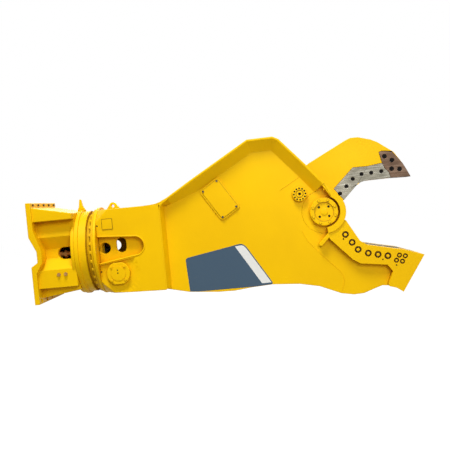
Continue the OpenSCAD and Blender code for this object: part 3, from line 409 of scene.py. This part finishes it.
def hexagon_bolt(across, head, washer):
    """Hexagon bolt head with eased edges, on a washer that stands on local z = 0."""
    washer_r = across * 1.18
    foot = turned([(0, 0), (washer_r, 0), (washer_r, washer * 0.7), (across * 1.1, washer), (0, washer)],
                  around=24)
    return joined(plate(hexagon(across), washer, head, edge=across * 0.12), foot)


dress(yellow_paint, 0.004, "slew_outer_ring", "ring_lug", "neck_flange")
dress(dark_steel, 0.0, "slew_outer_screws", "slew_pinion", "swivel_housing")
bare_steel = steel("bare_steel", linear(150, 148, 142), linear(205, 202, 195), 0.38)
dress(bare_steel, 0.0, "slew_balls")
# The turning ring gets a darker copy of the yellow paint: painted shade for its groove.
shaded_groove_paint = machine_paint("shaded_groove_paint", linear(240, 186, 0), linear(96, 54, 0), 0.45)
dress(shaded_groove_paint, 0.002, "slew_inner_ring")
ring_bolts, ring_bolt_circle, bolt_flange = 30, 0.283, 0.015
ring_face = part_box("slew_inner_ring")[1][0] - bolt_flange
ring_turns = (np.arange(ring_bolts) + 0.5) * 2 * math.pi / ring_bolts
ring_bolt = hexagon_bolt(0.0125, head=0.0118, washer=0.003)
add("ring_bolts", moved(ring_bolt, *around_axis(ring_face, ring_bolt_circle, ring_turns)), yellow_paint,
    "frame", "slew_bolts")
seal_in, seal_out, seal_crown, seal_wide, seal_gap = 0.268, 0.286, 0.0005, 0.0024, 0.0003
seal_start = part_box("slew_outer_ring")[1][0] + seal_gap
seal = turned([(seal_in, 0.0), (seal_out, 0.0), (seal_out + seal_crown, seal_wide / 2), (seal_out, seal_wide),
               (seal_in, seal_wide)], around=120)
seal_place = [[0, 0, 1, seal_start], [1, 0, 0, 0], [0, 1, 0, 0], [0, 0, 0, 1]]
# The seal gets a darker copy of the yellow paint: painted shade in the joint between the rings.
shaded_seal_paint = machine_paint("shaded_seal_finish", linear(214, 160, 0), linear(150, 90, 0), 0.55)
add("ring_seal", moved(seal, seal_place), shaded_seal_paint, "frame")


# Hoses
# Two pressure hoses join the fittings of the head to the swivel, and two run on from the turning side
# of the swivel up to the valve block in the neck. Black rubber over wire, with crimped steel ends.
def smooth_path(points, count):
    """Curve through the points: a Catmull-Rom cubic in each stretch, its ends doubled."""
    points = np.asarray(points, float)
    padded = np.vstack([2 * points[:1] - points[1:2], points, 2 * points[-1:] - points[-2:-1]])
    where = np.linspace(0, len(points) - 1 - 1e-9, count)
    i = where.astype(int)
    t = (where - i)[:, None]
    a, b, c, d = (padded[i + k] for k in range(4))
    square, cube = 2 * a - 5 * b + 4 * c - d, 3 * b - a - 3 * c + d
    return 0.5 * (2 * b + (c - a) * t + square * t ** 2 + cube * t ** 3)


def tube(path, radius, around):
    """Round rod along a path: at each point a circle square to the path. Its first spoke is the axis in
    which the path spreads least, with its part along the path taken out. The radius may vary."""
    path = np.asarray(path, float)
    along = np.gradient(path, axis=0)
    along /= np.linalg.norm(along, axis=1, keepdims=True)
    spread = path.max(0) - path.min(0)
    guide = np.eye(3)[int(np.argmin(spread))]
    first = guide - along * (along @ guide)[:, None]
    first /= np.linalg.norm(first, axis=1, keepdims=True)
    second = np.cross(along, first)
    a = np.linspace(0, 2 * math.pi, around, endpoint=False)[None, :, None]
    radius = np.broadcast_to(np.asarray(radius, float), len(path))[:, None, None]
    return rings(path[:, None] + radius * (np.cos(a) * first[:, None] + np.sin(a) * second[:, None]))


def hose(points, radius, count):
    """Hose along a smooth path: 0.86 of its room's radius, rising evenly to 0.98 over the crimped ends."""
    hose_share, crimp_share, crimp_start, crimp_slope = 0.86, 0.12, 0.12, 0.03
    path = smooth_path(points, count)
    share = np.linspace(0, 1, count)
    crimp = np.clip((crimp_start - np.minimum(share, 1 - share)) / crimp_slope, 0, 1)
    return tube(path, radius * (hose_share + crimp_share * crimp), around=16)


def rubber(name, colour):
    """Matt rubber with a fine cloth print and grey dust on it."""
    cover = Finish(bpy.data.materials.new(name))
    dust = cover.noise(14.0, detail=5.0).ramp(0.42, 0.75)
    dusty = tuple(0.12 + 0.8 * c for c in colour)
    tone = cover.tint(colour, dusty, dust * 0.4)
    weave = cover.bump(cover.noise(600.0, detail=1.0), distance=0.0004, strength=0.6)
    return cover.painted(Base_Color=tone, Roughness=0.62 + dust * 0.2, Normal=weave)


black_rubber = rubber("black_rubber", linear(34, 33, 32))
head_low, head_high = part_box("head_hoses")
hose_z, hose_r = (head_low[2] + head_high[2]) / 2, (head_high[2] - head_low[2]) / 2
hose_out, bow_share = head_high[1] - hose_r, 0.985
hose_runs = [[(head_low[0], side * hose_out, hose_z),
              ((head_low[0] + head_high[0]) / 2, side * hose_out * bow_share, hose_z),
              (head_high[0], side * hose_out, hose_z)] for side in (-1, 1)]
head_hoses = joined(*[hose(run, hose_r, count=24) for run in hose_runs])
add("head_hose_pair", head_hoses, black_rubber, "head", "head_hoses", slot="black_rubber", crisp=60.0)
plated = steel("plated_fitting", linear(250, 178, 84), linear(255, 222, 150), 0.5, bare=0.1)
ferrule_start, ferrule_end, ferrule_r = -0.030, 0.026, 0.016
crimp_radii, crimp_step, crimp_points = (0.0165, 0.0175), 0.004, 6
crimps = [(crimp_radii[k % 2], ferrule_start + crimp_step * k) for k in range(crimp_points)]
crimp_end = ferrule_start + crimp_step * crimp_points
ferrule = turned([(0, ferrule_start), *crimps, (ferrule_r, crimp_end), (ferrule_r, ferrule_end),
                  (0, ferrule_end)], around=24)
nut_across, nut_long = 0.027, 0.022
swivel_nut = joined(ferrule, plate(hexagon(nut_across), 0.0, nut_long, edge=0.003))
fitting_ways = ((head_low[0] + 0.034, -1), (head_high[0] - 0.030, 1), (head_high[0] - 0.062, -1))
fitting_places = [[[0, 0, way, x], [0, 1, 0, side * hose_out], [-way, 0, 0, hose_z], [0, 0, 0, 1]]
                  for x, way in fitting_ways for side in (-1, 1)]
add("hose_ferrules", moved(swivel_nut, *fitting_places), plated, "head", slot="bronze", crisp=30.0)

neck_low, neck_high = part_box("neck_hoses")
rising_r, bend_r, straight = 0.016, 0.04, 0.037
rising_out, rise_x = neck_high[1] - rising_r, neck_low[0] + straight + bend_r
start_z, end_z = neck_low[2] + rising_r, neck_high[2] - rising_r
bend = np.linspace(0, math.pi / 2, 7)
bend_up = np.column_stack([rise_x - bend_r + bend_r * np.sin(bend), start_z + bend_r * (1 - np.cos(bend))])
bend_on = np.column_stack([rise_x + bend_r * (1 - np.cos(bend)), end_z - bend_r + bend_r * np.sin(bend)])
rising_line = np.vstack([[neck_low[0], start_z], bend_up, bend_on, [neck_high[0], end_z]])


def on_sides(line, out):
    """The same line of x and z on both sides of the machine, at that distance from its middle."""
    return [np.column_stack([line[:, 0], np.full(len(line), side * out), line[:, 1]]) for side in (-1, 1)]


neck_hoses = joined(*[hose(run, rising_r, count=60) for run in on_sides(rising_line, rising_out)])
add("neck_hose_pair", neck_hoses, black_rubber, "frame", "neck_hoses", slot="black_rubber", crisp=60.0)
dress(dark_steel, 0.0, "speed_valve")


# Neck
# A box welded from plate, with a pocket pressed into each side, a lifting eye and a bare plate.
# A rolled lip runs round each pocket, and sloped strips close the step from the neck to the body.
dress(yellow_paint, 0.004, "neck_box", "lifting_eye")
dress(yellow_paint, 0.0, "type_plate")
dress(bare_steel, 0.0, "base_pin")
neck_side, lip_gap = 0.24, 0.004
lip_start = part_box("neck_flange")[1][0] + lip_gap
pocket_end, pocket_r = np.array((0.715, 0.020)), 0.067
pocket_top, pocket_foot, lip_r = 0.104, -0.086, 0.005
swing = np.radians(np.linspace(90, -90, 15))
round_end = pocket_end + pocket_r * np.column_stack([np.cos(swing), np.sin(swing)])
pocket_line = np.vstack([[lip_start, pocket_top], round_end, [lip_start, pocket_foot]])
lips = [tube(smooth_path(run, count=64), lip_r, around=8) for run in on_sides(pocket_line, neck_side)]
add("pocket_lips", joined(*lips), yellow_paint, "frame", crisp=60.0)
seam_section = np.array([(0.9045, 0.1801), (0.9045, 0.2392), (0.9085, 0.2398), (0.9125, 0.2380),
                         (0.9330, 0.1830), (0.9350, 0.1801)])
seam_foot, seam_bend, seam_head, seam_lean = -0.298, 0.255, 0.290, 0.022


def slope_strip(side):
    """Strip up the seam: the section of x and distance from the middle is carried up in z, and above the
    bend it leans along x by the square of its share of the way from there to the head."""
    up = np.linspace(seam_foot, seam_head, 30)
    lean = np.interp(up, [seam_foot, seam_bend, seam_head], [0.0, 0.0, 1.0]) ** 2 * seam_lean
    x = seam_section[None, :, 0] + lean[:, None]
    y = np.broadcast_to(side * seam_section[None, :, 1], x.shape)
    return rings(np.stack([x, y, np.broadcast_to(up[:, None], x.shape)], -1))


add("seam_slopes", joined(slope_strip(-1), slope_strip(1)), yellow_paint, "frame", crisp=50.0)


def facing(x, z, out, side, angle=0.0):
    """Place of a local frame on the shear's side: x runs along X, y up Z, and z out of the side."""
    c, s = math.cos(angle), math.sin(angle)
    return [[c, -s, 0, x], [0, 0, side, side * out], [s, c, 0, z], [0, 0, 0, 1]]


def both_sides(spots, out=0.0, angle=0.0):
    """Places at each spot of x and z on both sides, that far out from the machine's middle."""
    return [facing(x, z, out, side, angle) for x, z in spots for side in (-1, 1)]


def spaced(centre, radius, count, first=0.0):
    """Spots of x and z evenly round a circle about the centre."""
    angles = first + np.arange(count) * 2 * math.pi / count
    return np.asarray(centre) + radius * np.column_stack([np.cos(angles), np.sin(angles)])


base_at, base_cap_r, base_cap_foot, base_cap_face = (0.587, -0.160), 0.080, 0.2262, 0.254
cap_flat = 0.93 * base_cap_r
cap_turn = np.linspace(0, 2 * math.pi, 48, endpoint=False)
cap_rise = np.clip(base_cap_r * np.sin(cap_turn), -cap_flat, cap_flat)
cap_line = np.column_stack([base_cap_r * np.cos(cap_turn), cap_rise])
hub_r, hub_face, hub_edge, eased = 0.050, 0.258, 0.004, 0.0005
hub_foot = base_cap_face - eased
base_hub = turned([(0.0, hub_foot), (hub_r, hub_foot), (hub_r, hub_face - eased),
                   (hub_r - hub_edge, hub_face), (0.0, hub_face)], around=40)
base_cap = joined(plate(cap_line, base_cap_foot, base_cap_face, edge=0.004, steps=4), base_hub)
add("base_caps", moved(base_cap, *both_sides([base_at])), yellow_paint, "frame", "base_pin_caps")
base_bolt = hexagon_bolt(0.0075, head=0.0092, washer=0.002)
base_bolt_circle, washer_gap = 0.064, 0.0002
base_bolt_spots = spaced(base_at, base_bolt_circle, 4, first=math.pi / 4)
base_bolt_places = both_sides(base_bolt_spots, base_cap_face + washer_gap)
add("base_cap_bolts", moved(base_bolt, *base_bolt_places), yellow_paint, "frame", "base_cap_screws")


# Body plates and rims
# Two flame-cut side plates, joined by roof, belly and throat plates. A heavy rim is bent round the top of
# each side plate: a narrow flat lip outside with a rolled edge, then a crisp bend and a slope to the plate.
dress(yellow_paint, 0.004, "near_side_plate", "far_side_plate", "roof_plate", "belly_plate", "throat_plate")
top_line = np.array([(0.905, 0.286), (0.96095, 0.3243), (1.1299, 0.4261), (1.5451, 0.666), (1.7196, 0.670),
                     (1.7599, 0.6499), (1.930, 0.4569), (2.0397, 0.325)])
slope_shares = np.array([0.1, 0.5, 1, 1, 1, 1, 1, 1])
rim_lip, rim_slope, rim_roll, rim_foot, rim_out = 0.013, 0.074, 0.004, 0.1801, 0.24


def offset_line(line, distance):
    """Open line moved to its right by a distance at each point, along the mean of the two side normals."""
    side = np.diff(line, axis=0)
    side /= np.linalg.norm(side, axis=1, keepdims=True)
    normal = np.column_stack([side[:, 1], -side[:, 0]])
    both = np.vstack([normal[:1], normal]) + np.vstack([normal, normal[-1:]])
    return line + np.reshape(distance, (-1, 1)) * both / ((both * both).sum(1, keepdims=True) / 2)


def rim_skin(side):
    """The profile (inset from the top line, distance from the middle) carried along the top line, with
    three points on its rolled edge and two at its bend, and closed underneath against the side plate."""
    profile = [(0.0, rim_foot), (0.0, rim_out - rim_roll), (rim_roll * 0.3, rim_out - rim_roll * 0.3),
               (rim_roll, rim_out), (rim_lip - rim_roll * 0.5, rim_out),
               (rim_lip + rim_roll * 0.5 * slope_shares, rim_out - rim_roll * 0.45),
               (rim_lip + rim_slope * slope_shares, rim_foot)]
    lines = [(offset_line(top_line, inward), np.full(len(top_line), side * out)) for inward, out in profile]
    return rings(np.stack([np.column_stack([line[:, 0], y, line[:, 1]]) for line, y in lines], 1))


add("near_far_rims", joined(rim_skin(-1), rim_skin(1)), yellow_paint, "frame", "side_rims", crisp=9.0)
rim_start = [(0.8000, 0.2862), (0.8500, 0.2885), (0.8850, 0.2930), (0.9150, 0.3020), (0.9400, 0.3150),
             (0.9610, 0.3238), (0.9700, 0.3200), (0.9060, 0.2840)]
start_foot, start_face = 0.1805, 0.2396
as_drawn = both_sides([(0.0, 0.0)])
rim_start_plate = plate(rim_start, start_foot, start_face, edge=0.002)
add("rim_starts", moved(rim_start_plate, *as_drawn), yellow_paint, "frame")


# Body covers
# A bolted hatch in each side gives reach to the cylinder, and a round cover holds each guide puck.
# Both are flame-cut plate with a machined step, painted with the body.
def rounded(points, radius, steps):
    """Outline with eased corners: each corner is the parabola from a point that far before it to one that
    far after it, (1-t)^2 A + 2t(1-t) P + t^2 B, never past 0.45 of a side."""
    points = np.asarray(points, float)
    before, after = np.roll(points, 1, 0) - points, np.roll(points, -1, 0) - points
    radius = np.broadcast_to(np.asarray(radius, float), len(points))[:, None]
    ends = []
    for side in (before, after):
        span = np.linalg.norm(side, axis=1, keepdims=True)
        ends.append(points + side / span * np.minimum(radius, 0.45 * span))
    t = np.linspace(0, 1, steps)[None, :, None]
    curve = (1 - t) ** 2 * ends[0][:, None] + 2 * t * (1 - t) * points[:, None] + t ** 2 * ends[1][:, None]
    return curve.reshape(-1, 2)


def rectangle(half_long, half_wide, radius):
    """Rectangle about the origin with eased corners: plus and minus each half size."""
    corner_points = np.array([(-1, -1), (1, -1), (1, 1), (-1, 1)]) * (half_long, half_wide)
    return rounded(corner_points, radius, steps=7)


def socket_screw(head_r, head, socket_r):
    """Round head standing on local z = 0, with an eased rim and a socket sunk into it."""
    return turned([(0, 0), (head_r, 0), (head_r, head * 0.8), (head_r * 0.86, head), (socket_r, head),
                   (socket_r * 0.95, head * 0.35), (0, head * 0.3)], around=20)


def dark_spot(radius, bevel, rise, middle, around):
    """Thin round disc of painted shade for a hole, pocket or bolt seat: it stands up to the rise at its
    bevelled rim, and to the middle height at its centre."""
    return turned([(0, 0), (radius, 0), (radius - bevel, rise), (0, middle)], around)


side_face = 0.1803
hatch_at, hatch_turn = (1.3241, 0.2831), math.radians(-57.5)
hatch_long, hatch_wide, hatch_step, hatch_r, step_r = 0.131, 0.082, 0.012, 0.028, 0.018
hatch_foot_face, hatch_face, hatch_sunk = side_face + 0.0085, 0.1938, 0.0005
hatch_top_line = rectangle(hatch_long - hatch_step, hatch_wide - hatch_step, step_r)
hatch = joined(plate(rectangle(hatch_long, hatch_wide, hatch_r), side_face, hatch_foot_face, edge=0.003),
               plate(hatch_top_line, hatch_foot_face - hatch_sunk, hatch_face, edge=0.004))
hatch_places = both_sides([hatch_at], 0.0, hatch_turn)
add("access_hatches", moved(hatch, *hatch_places), yellow_paint, "frame", "access_covers")
# Dark brown finish for the dark joints round the hatch and the type plate, and for painted shade in nut
# pockets, under cap bolts and round cap steps.
dark_joint_and_shade = steel("dark_joint_and_shade_finish", linear(60, 42, 16), linear(92, 70, 36), 0.7, bare=0.0, shine=0.1)
joint_z, joint_r = hatch_foot_face + 0.0005, 0.0013
hatch_round = np.vstack([hatch_top_line, hatch_top_line[:1]])
hatch_joint = tube(np.column_stack([hatch_round, np.full(len(hatch_round), joint_z)]), joint_r, around=6)
add("hatch_joints", moved(hatch_joint, *hatch_places), dark_joint_and_shade, "frame", slot="dark_steel", crisp=60.0)


def along_hatch(along, across):
    """Spot of x and z at that distance along and across the turned hatch, from its middle."""
    c, s = math.cos(hatch_turn), math.sin(hatch_turn)
    return hatch_at[0] + c * along - s * across, hatch_at[1] + s * along + c * across


hatch_screw_spots = [along_hatch(along, across) for along in (-0.110, 0.110) for across in (-0.059, 0.059)]
screw_sunk = 0.0002
hatch_screw = socket_screw(0.0065, head=0.005, socket_r=0.0035)
hatch_screws = moved(hatch_screw, *both_sides(hatch_screw_spots, hatch_face - screw_sunk))
add("hatch_screws", hatch_screws, dark_steel, "frame", "cover_screws", slot="dark_steel")

puck_at, puck_r, puck_face, puck_edge_z = (1.8707, 0.2657), 0.050, 0.2098, 0.206
groove_out, groove_in, groove_z, puck_hole_r, hole_z = 0.030, 0.019, 0.2075, 0.0105, 0.2055
puck_cap = turned([(0.0, side_face), (puck_r, side_face), (puck_r, puck_edge_z), (puck_r - 0.0025, puck_face),
                   (groove_out, puck_face), (groove_out - 0.001, groove_z), (groove_in + 0.001, groove_z),
                   (groove_in, puck_face), (puck_hole_r, puck_face), (puck_hole_r - 0.001, puck_edge_z),
                   (0.0, hole_z)], around=64)
add("puck_caps", moved(puck_cap, *both_sides([puck_at])), yellow_paint, "frame", "puck_covers")
# Near-black finish for screws, and painted shade for the black discs laid in holes.
black_screws_and_hole_shade = steel("black_screws_and_hole_shade", linear(15, 13, 12), linear(40, 36, 33), 0.7, bare=0.0, shine=0.08)
puck_screw_circle, puck_screw_count, shade_disc_gap = 0.039, 12, 0.0001
puck_screw = socket_screw(0.0058, head=0.0012, socket_r=0.003)
# Painted shade: a black disc in the puck cap's middle hole.
puck_middle = dark_spot(0.0092, bevel=0.0004, rise=0.0006, middle=0.0003, around=24)
puck_screw_spots = spaced(puck_at, puck_screw_circle, puck_screw_count)
puck_screws = joined(moved(puck_screw, *both_sides(puck_screw_spots, puck_face - screw_sunk)),
                     moved(puck_middle, *both_sides([puck_at], hole_z + shade_disc_gap)))
add("puck_cap_screws", puck_screws, black_screws_and_hole_shade, "frame", "puck_screws", slot="dark_steel")


# Side panels
# Each side carries a blue-grey panel with a pale stripe across its front end.
# They are thin sheet stuck to the plate, and their lower edge follows the belly.
panel_paint = machine_paint("blue_panel", linear(72, 92, 110), linear(58, 76, 94), 0.4)
stripe_paint = machine_paint("white_stripe", linear(232, 232, 228), linear(205, 205, 200), 0.4)
belly_line = np.array([(0.905, -0.3035), (1.0516, -0.337), (1.2497, -0.3549), (1.3694, -0.357),
                       (1.4891, -0.3441), (1.6324, -0.3359), (1.8181, -0.3491), (1.9524, -0.377)])


def finely(line):
    """The closed outline with every side split into steps of about 20 mm."""
    step = 0.02
    line = np.asarray(line, float)
    pieces = [a + (b - a) * np.linspace(0, 1, max(2, int(np.linalg.norm(b - a) / step) + 1))[:-1, None]
              for a, b in zip(line, np.roll(line, -1, 0))]
    return np.concatenate(pieces)


def above_belly(line):
    """The finely split outline with no point lower than the belly line plus a small lift at its x."""
    lift = 0.003
    line = finely(line)
    lowest = np.interp(line[:, 0], belly_line[:, 0], belly_line[:, 1]) + lift
    return np.column_stack([line[:, 0], np.maximum(line[:, 1], lowest)])


panel_corners = [(1.0482, -0.1035), (1.4444, -0.0350), (1.4735, -0.0571), (1.6346, -0.3213), (1.628, -0.3400),
                 (1.060, -0.3400)]
panel_radii = [0.02, 0.02, 0.012, 0.004, 0.004, 0.01]
stripe_corners = [(1.3974, -0.0518), (1.4500, -0.0470), (1.4701, -0.0650), (1.6268, -0.3213),
                  (1.5607, -0.3213)]
stripe_radii = [0.004, 0.014, 0.012, 0.003, 0.003]
panel_line = above_belly(rounded(panel_corners, panel_radii, steps=7))
stripe_line = above_belly(rounded(stripe_corners, stripe_radii, steps=5))
panel_face, stripe_foot, stripe_face, sheet_edge = 0.1812, 0.1810, 0.1819, 0.0004
panel = plate(panel_line, side_face, panel_face, sheet_edge, steps=2)
stripe = plate(stripe_line, stripe_foot, stripe_face, sheet_edge, steps=2)
add("panel_skins", moved(panel, *as_drawn), panel_paint, "frame", "side_panels", slot="blue_panel")
add("stripe_skins", moved(stripe, *as_drawn), stripe_paint, "frame", "panel_stripes", slot="white_stripe")


# Main pivot
# The big pin is held by a stepped cap on each side with eight bolts and four jacking holes.
# The cheek's boss stands round it, painted over as one with the cap.
dress(bare_steel, 0.0, "main_pin")
dress(bronze, 0.0, "guide_pucks", "jaw_bush")
pivot = np.array((2.024, 0.131))
cap_foot, cap_top, cap_r, step_in, hollow_r = 0.1805, 0.224, 0.095, 0.0665, 0.0245
hollow_z, middle_z = cap_top - 0.008, cap_top - 0.0028
main_cap = turned([(0, cap_foot), (cap_r, cap_foot), (cap_r, cap_top - 0.005),
                   (cap_r - 0.0015, cap_top - 0.001), (cap_r - 0.004, cap_top), (step_in, cap_top),
                   (step_in - 0.002, cap_top - 0.0015),
                   (step_in - 0.0028, hollow_z), (hollow_r, hollow_z), (hollow_r - 0.001, cap_top - 0.004),
                   (hollow_r - 0.0035, middle_z), (0.0, middle_z)], around=96)
add("main_caps", moved(main_cap, *both_sides([pivot])), yellow_paint, "frame", "main_pin_caps")


def ring_places(centre, radius, count, out, first):
    """Places on both sides, evenly round a circle about the centre, each turned with its spoke."""
    angles = first + np.arange(count) * 2 * math.pi / count
    return [facing(centre[0] + radius * math.cos(a), centre[1] + radius * math.sin(a), out, side, a)
            for a in angles for side in (-1, 1)]


cap_bolts, cap_bolt_circle, bolt_shade_sunk, bolt_sunk = 8, 0.0798, 0.0003, 0.0004
# Painted shade: a dark disc under each cap bolt, a little wider than its washer, outlines the bolt.
cap_bolt_shade = dark_spot(0.0108, bevel=0.0002, rise=0.0005, middle=0.0005, around=24)
bolt_shade_places = ring_places(pivot, cap_bolt_circle, cap_bolts, cap_top - bolt_shade_sunk, math.pi / cap_bolts)
add("main_cap_bolt_shades", moved(cap_bolt_shade, *bolt_shade_places), dark_joint_and_shade, "frame", slot="dark_steel")


def shade_ring_line(centre, line_r, out, thickness):
    """Thin rod round a circle about the centre on both sides, at that distance from the middle."""
    a = np.linspace(0, 2 * math.pi, 73)
    circle = np.column_stack([line_r * np.cos(a), line_r * np.sin(a), np.full(len(a), out)])
    return moved(tube(circle, thickness, around=6), *both_sides([centre]))


# Painted shade: thin dark rings in the corner of the main cap's step and in the puck cap's groove.
step_shade_line = shade_ring_line(pivot, step_in - 0.0013, cap_top - 0.0006, thickness=0.0010)
puck_groove_shade_line = shade_ring_line(puck_at, (groove_in + groove_out) / 2, groove_z + 0.0003, thickness=0.0013)
add("cap_step_shade_lines", joined(step_shade_line, puck_groove_shade_line), dark_joint_and_shade, "frame", slot="dark_steel", crisp=60.0)
cap_bolt = hexagon_bolt(0.0078, head=0.0062, washer=0.0018)
cap_bolt_places = ring_places(pivot, cap_bolt_circle, cap_bolts, cap_top - bolt_sunk, math.pi / cap_bolts)
add("main_cap_bolts", moved(cap_bolt, *cap_bolt_places), yellow_paint, "frame", "main_cap_screws")
# Painted shade: black discs for the two small holes in each base cap's hub and the four jacking holes in each
# main cap.
base_hole = dark_spot(0.0045, bevel=0.0003, rise=0.0008, middle=0.0004, around=16)
base_hole_spots = np.array(base_at) + [(-0.003, 0.023), (-0.002, 0.003)]
jacking_circle = 0.0456
jacking_hole = dark_spot(0.0082, bevel=0.0004, rise=0.001, middle=0.0005, around=20)
jacking_places = ring_places(pivot, jacking_circle, 4, hollow_z + shade_disc_gap, math.pi / 4)
holes = joined(moved(base_hole, *both_sides(base_hole_spots, hub_face + shade_disc_gap)),
               moved(jacking_hole, *jacking_places))
add("jacking_holes", holes, black_screws_and_hole_shade, "frame", slot="dark_steel")


# Cylinder
# The cylinder lies inside the body: a painted barrel, a turned gland, a hard-chromed rod, and steel pins.
# Its base turns on the neck's pin, and the rod's eye on the pin of the moving jaw's forked lever.
chrome = steel("chrome_rod", linear(200, 203, 206), linear(235, 236, 238), 0.14)
dress(yellow_paint, 0.004, "cylinder_barrel")
dress(dark_steel, 0.0, "cylinder_gland")
dress(bare_steel, 0.0, "lever_pin_ends", "rod_pin_centre", "cylinder_piston")
dress(chrome, 0.0, "cylinder_rod")


# Fixed jaw
# Two thick cheeks and the nose between them, with ground blades drawn in by bolts.
# The nuts sit in bored pockets along the cheek, with painted shade laid dark in the pockets round them.
blade_steel = steel("blade_steel", linear(126, 122, 108), linear(205, 202, 190), 0.42, streak_tilt=0.5,
                    blotch=0.95)
dress(yellow_paint, 0.0015, "near_jaw_cheek", "far_jaw_cheek", "nose_block")
dress(blade_steel, 0.002, "nose_blade", "heel_blade", "front_blade", "guide_blade")
blade_shares = np.array([[.2, .285], [.262, .382], [.318, .47], [.42, .522], [.52, .547], [.62, .572]])
end_shares = np.array([[.74, .577], [.8, .591], [.705, .632], [.766, .649]])
fixed_span, cheek_face = np.array((0.644, -0.589)), 0.225
nut_spots, end_spots = pivot + fixed_span * blade_shares, pivot + fixed_span * end_shares


def nut_on_end(across, tall):
    """Hexagon nut with eased edges, and the bolt's end standing a little out of it."""
    end_r, end_top = across * 0.48, tall + 0.0016
    bolt_end = turned([(0, tall * 0.9), (end_r, tall * 0.9), (across * 0.44, end_top), (0, end_top)],
                      around=16)
    return joined(plate(hexagon(across), 0, tall, edge=across * 0.16), bolt_end)


big_nut_sunk, small_nut_sunk = 0.0032, 0.0022
big_nuts = moved(nut_on_end(0.0128, tall=0.0045), *both_sides(nut_spots, cheek_face - big_nut_sunk))
small_nuts = moved(nut_on_end(0.0088, tall=0.0035), *both_sides(end_spots, cheek_face - small_nut_sunk))
add("blade_nuts", joined(big_nuts, small_nuts), yellow_paint, "frame", "fixed_blade_bolts")
just_under = cheek_face - shade_disc_gap
# Painted shade: dark discs in the nut pockets round the nuts.
big_pocket = dark_spot(0.0195, bevel=0.0002, rise=0.0005, middle=0.0005, around=32)
small_pocket = dark_spot(0.0135, bevel=0.0002, rise=0.0005, middle=0.0005, around=28)
pockets = joined(moved(big_pocket, *both_sides(nut_spots, just_under)),
                 moved(small_pocket, *both_sides(end_spots, just_under)))
add("nut_pocket_shades", pockets, dark_joint_and_shade, "frame", slot="dark_steel")


# Moving jaw
# One thick web with a forked lever behind its hub, two ground blades and a forged piercing tip.
# Countersunk screws with hexagon sockets hold the blades and the tip; they are coloured black.
tip_steel = steel("tip_steel", linear(100, 78, 62), linear(160, 138, 118), 0.5, streak_tilt=0.2, bare=0.85)
dress(yellow_paint, 0.004, "moving_jaw")
dress(blade_steel, 0.002, "jaw_heel_blade", "jaw_front_blade")
dress(tip_steel, 0.003, "piercing_tip")
moving_span = np.array((0.629, 0.491))
blade_screw_shares = np.array([[.212, .226], [.289, .322], [.367, .417], [.466, .475], [.574, .479],
                               [.685, .487]])
tip_screw_shares = np.array([[.733, .693], [.81, .63], [.799, .51], [.885, .495]])
blade_face, tip_screw_scale = 0.0735, (1.15, 1.15, 1.0)
blade_screw = turned([(0, 0.0), (0.0128, 0.0), (0.0128, 0.0006), (0.0105, 0.0009), (0.0088, -0.0008),
                      (0.0055, -0.001), (0.0052, -0.005), (0, -0.005)], around=24)
tip_screw = (blade_screw[0] * tip_screw_scale, blade_screw[1])
near_places = [facing(x, z, blade_face, -1) for x, z in pivot + moving_span * blade_screw_shares]
tip_places = both_sides(pivot + moving_span * tip_screw_shares, blade_face)
jaw_screws = joined(moved(blade_screw, *near_places), moved(tip_screw, *tip_places))
add("moving_blade_screws", jaw_screws, black_screws_and_hole_shade, "jaw", "jaw_blade_screws", slot="dark_steel")


# Pivot guard
# The rim's lip runs on as a bar to the cheek's guard, and a flat fin carries the guard's lower end down
# the side. Both are plate, welded to the side and painted over. The welded joints show as thin seams.
guard_in, guard_out = 0.108, 0.1462
guard_foot, bridge_face, fin_face = 0.1802, 0.2348, 0.226
bridge_end = math.radians(60)
end_spoke = np.array((math.cos(bridge_end), math.sin(bridge_end)))
bridge = [top_line[-1] + (-0.006, 0.007), pivot + guard_out * end_spoke, pivot + guard_in * end_spoke,
          top_line[-1] + (-0.017, -0.014)]
fin = [(2.050, -0.005), (2.067, -0.023), (1.992, -0.098), (1.974, -0.098), (1.972, -0.084)]
bridge_plate = plate(rounded(bridge, radius=0.004, steps=3), guard_foot, bridge_face, edge=0.004)
fin_plate = plate(rounded(fin, radius=0.003, steps=3), guard_foot, fin_face, edge=0.003)
add("guard_bars", joined(moved(bridge_plate, *as_drawn), moved(fin_plate, *as_drawn)), yellow_paint, "frame")
cheek_seam = np.array([(1.8655, 0.0121), (1.9000, -0.0600), (1.9864, -0.1642), (2.1164, -0.3137),
                       (2.1050, -0.4150)])
plate_seam = np.array([(1.7415, 0.3057), (1.8800, 0.3850), (1.9350, 0.4280)])
seam_r = 0.0022
seam_runs = on_sides(cheek_seam, side_face) + on_sides(plate_seam, side_face)
seams = [tube(smooth_path(run, count=40), seam_r, around=8) for run in seam_runs]
add("side_seams", joined(*seams), yellow_paint, "frame", crisp=60.0)
cheek_holes = [(2.1369, -0.0657), (2.3880, -0.2270), (2.4750, -0.2731)]
neck_holes = [(0.4680, 0.1761), (0.4690, -0.1401)]
hole_places = both_sides(cheek_holes, just_under) + both_sides(neck_holes, neck_side - shade_disc_gap)
# Painted shade: black discs for the tapped holes in the cheeks and the neck.
tapped_hole = dark_spot(0.0052, bevel=0.0002, rise=0.0006, middle=0.0003, around=16)
add("tapped_holes", moved(tapped_hole, *hole_places), black_screws_and_hole_shade, "frame", slot="dark_steel")
label_left, label_right, label_low, label_high = 0.503, 0.575, 0.148, 0.220
label_out, label_edge_r = 0.2431, 0.0011
label_line = np.array([(label_left, label_low), (label_right, label_low), (label_right, label_high),
                       (label_left, label_high), (label_left, label_low)])
near_label_line = on_sides(label_line, label_out)[0]
label_edges = [tube(np.linspace(a, b, 6), label_edge_r, around=6)
               for a, b in zip(near_label_line, near_label_line[1:])]
add("type_plate_edges", joined(*label_edges), dark_joint_and_shade, "frame", slot="dark_steel", crisp=60.0)
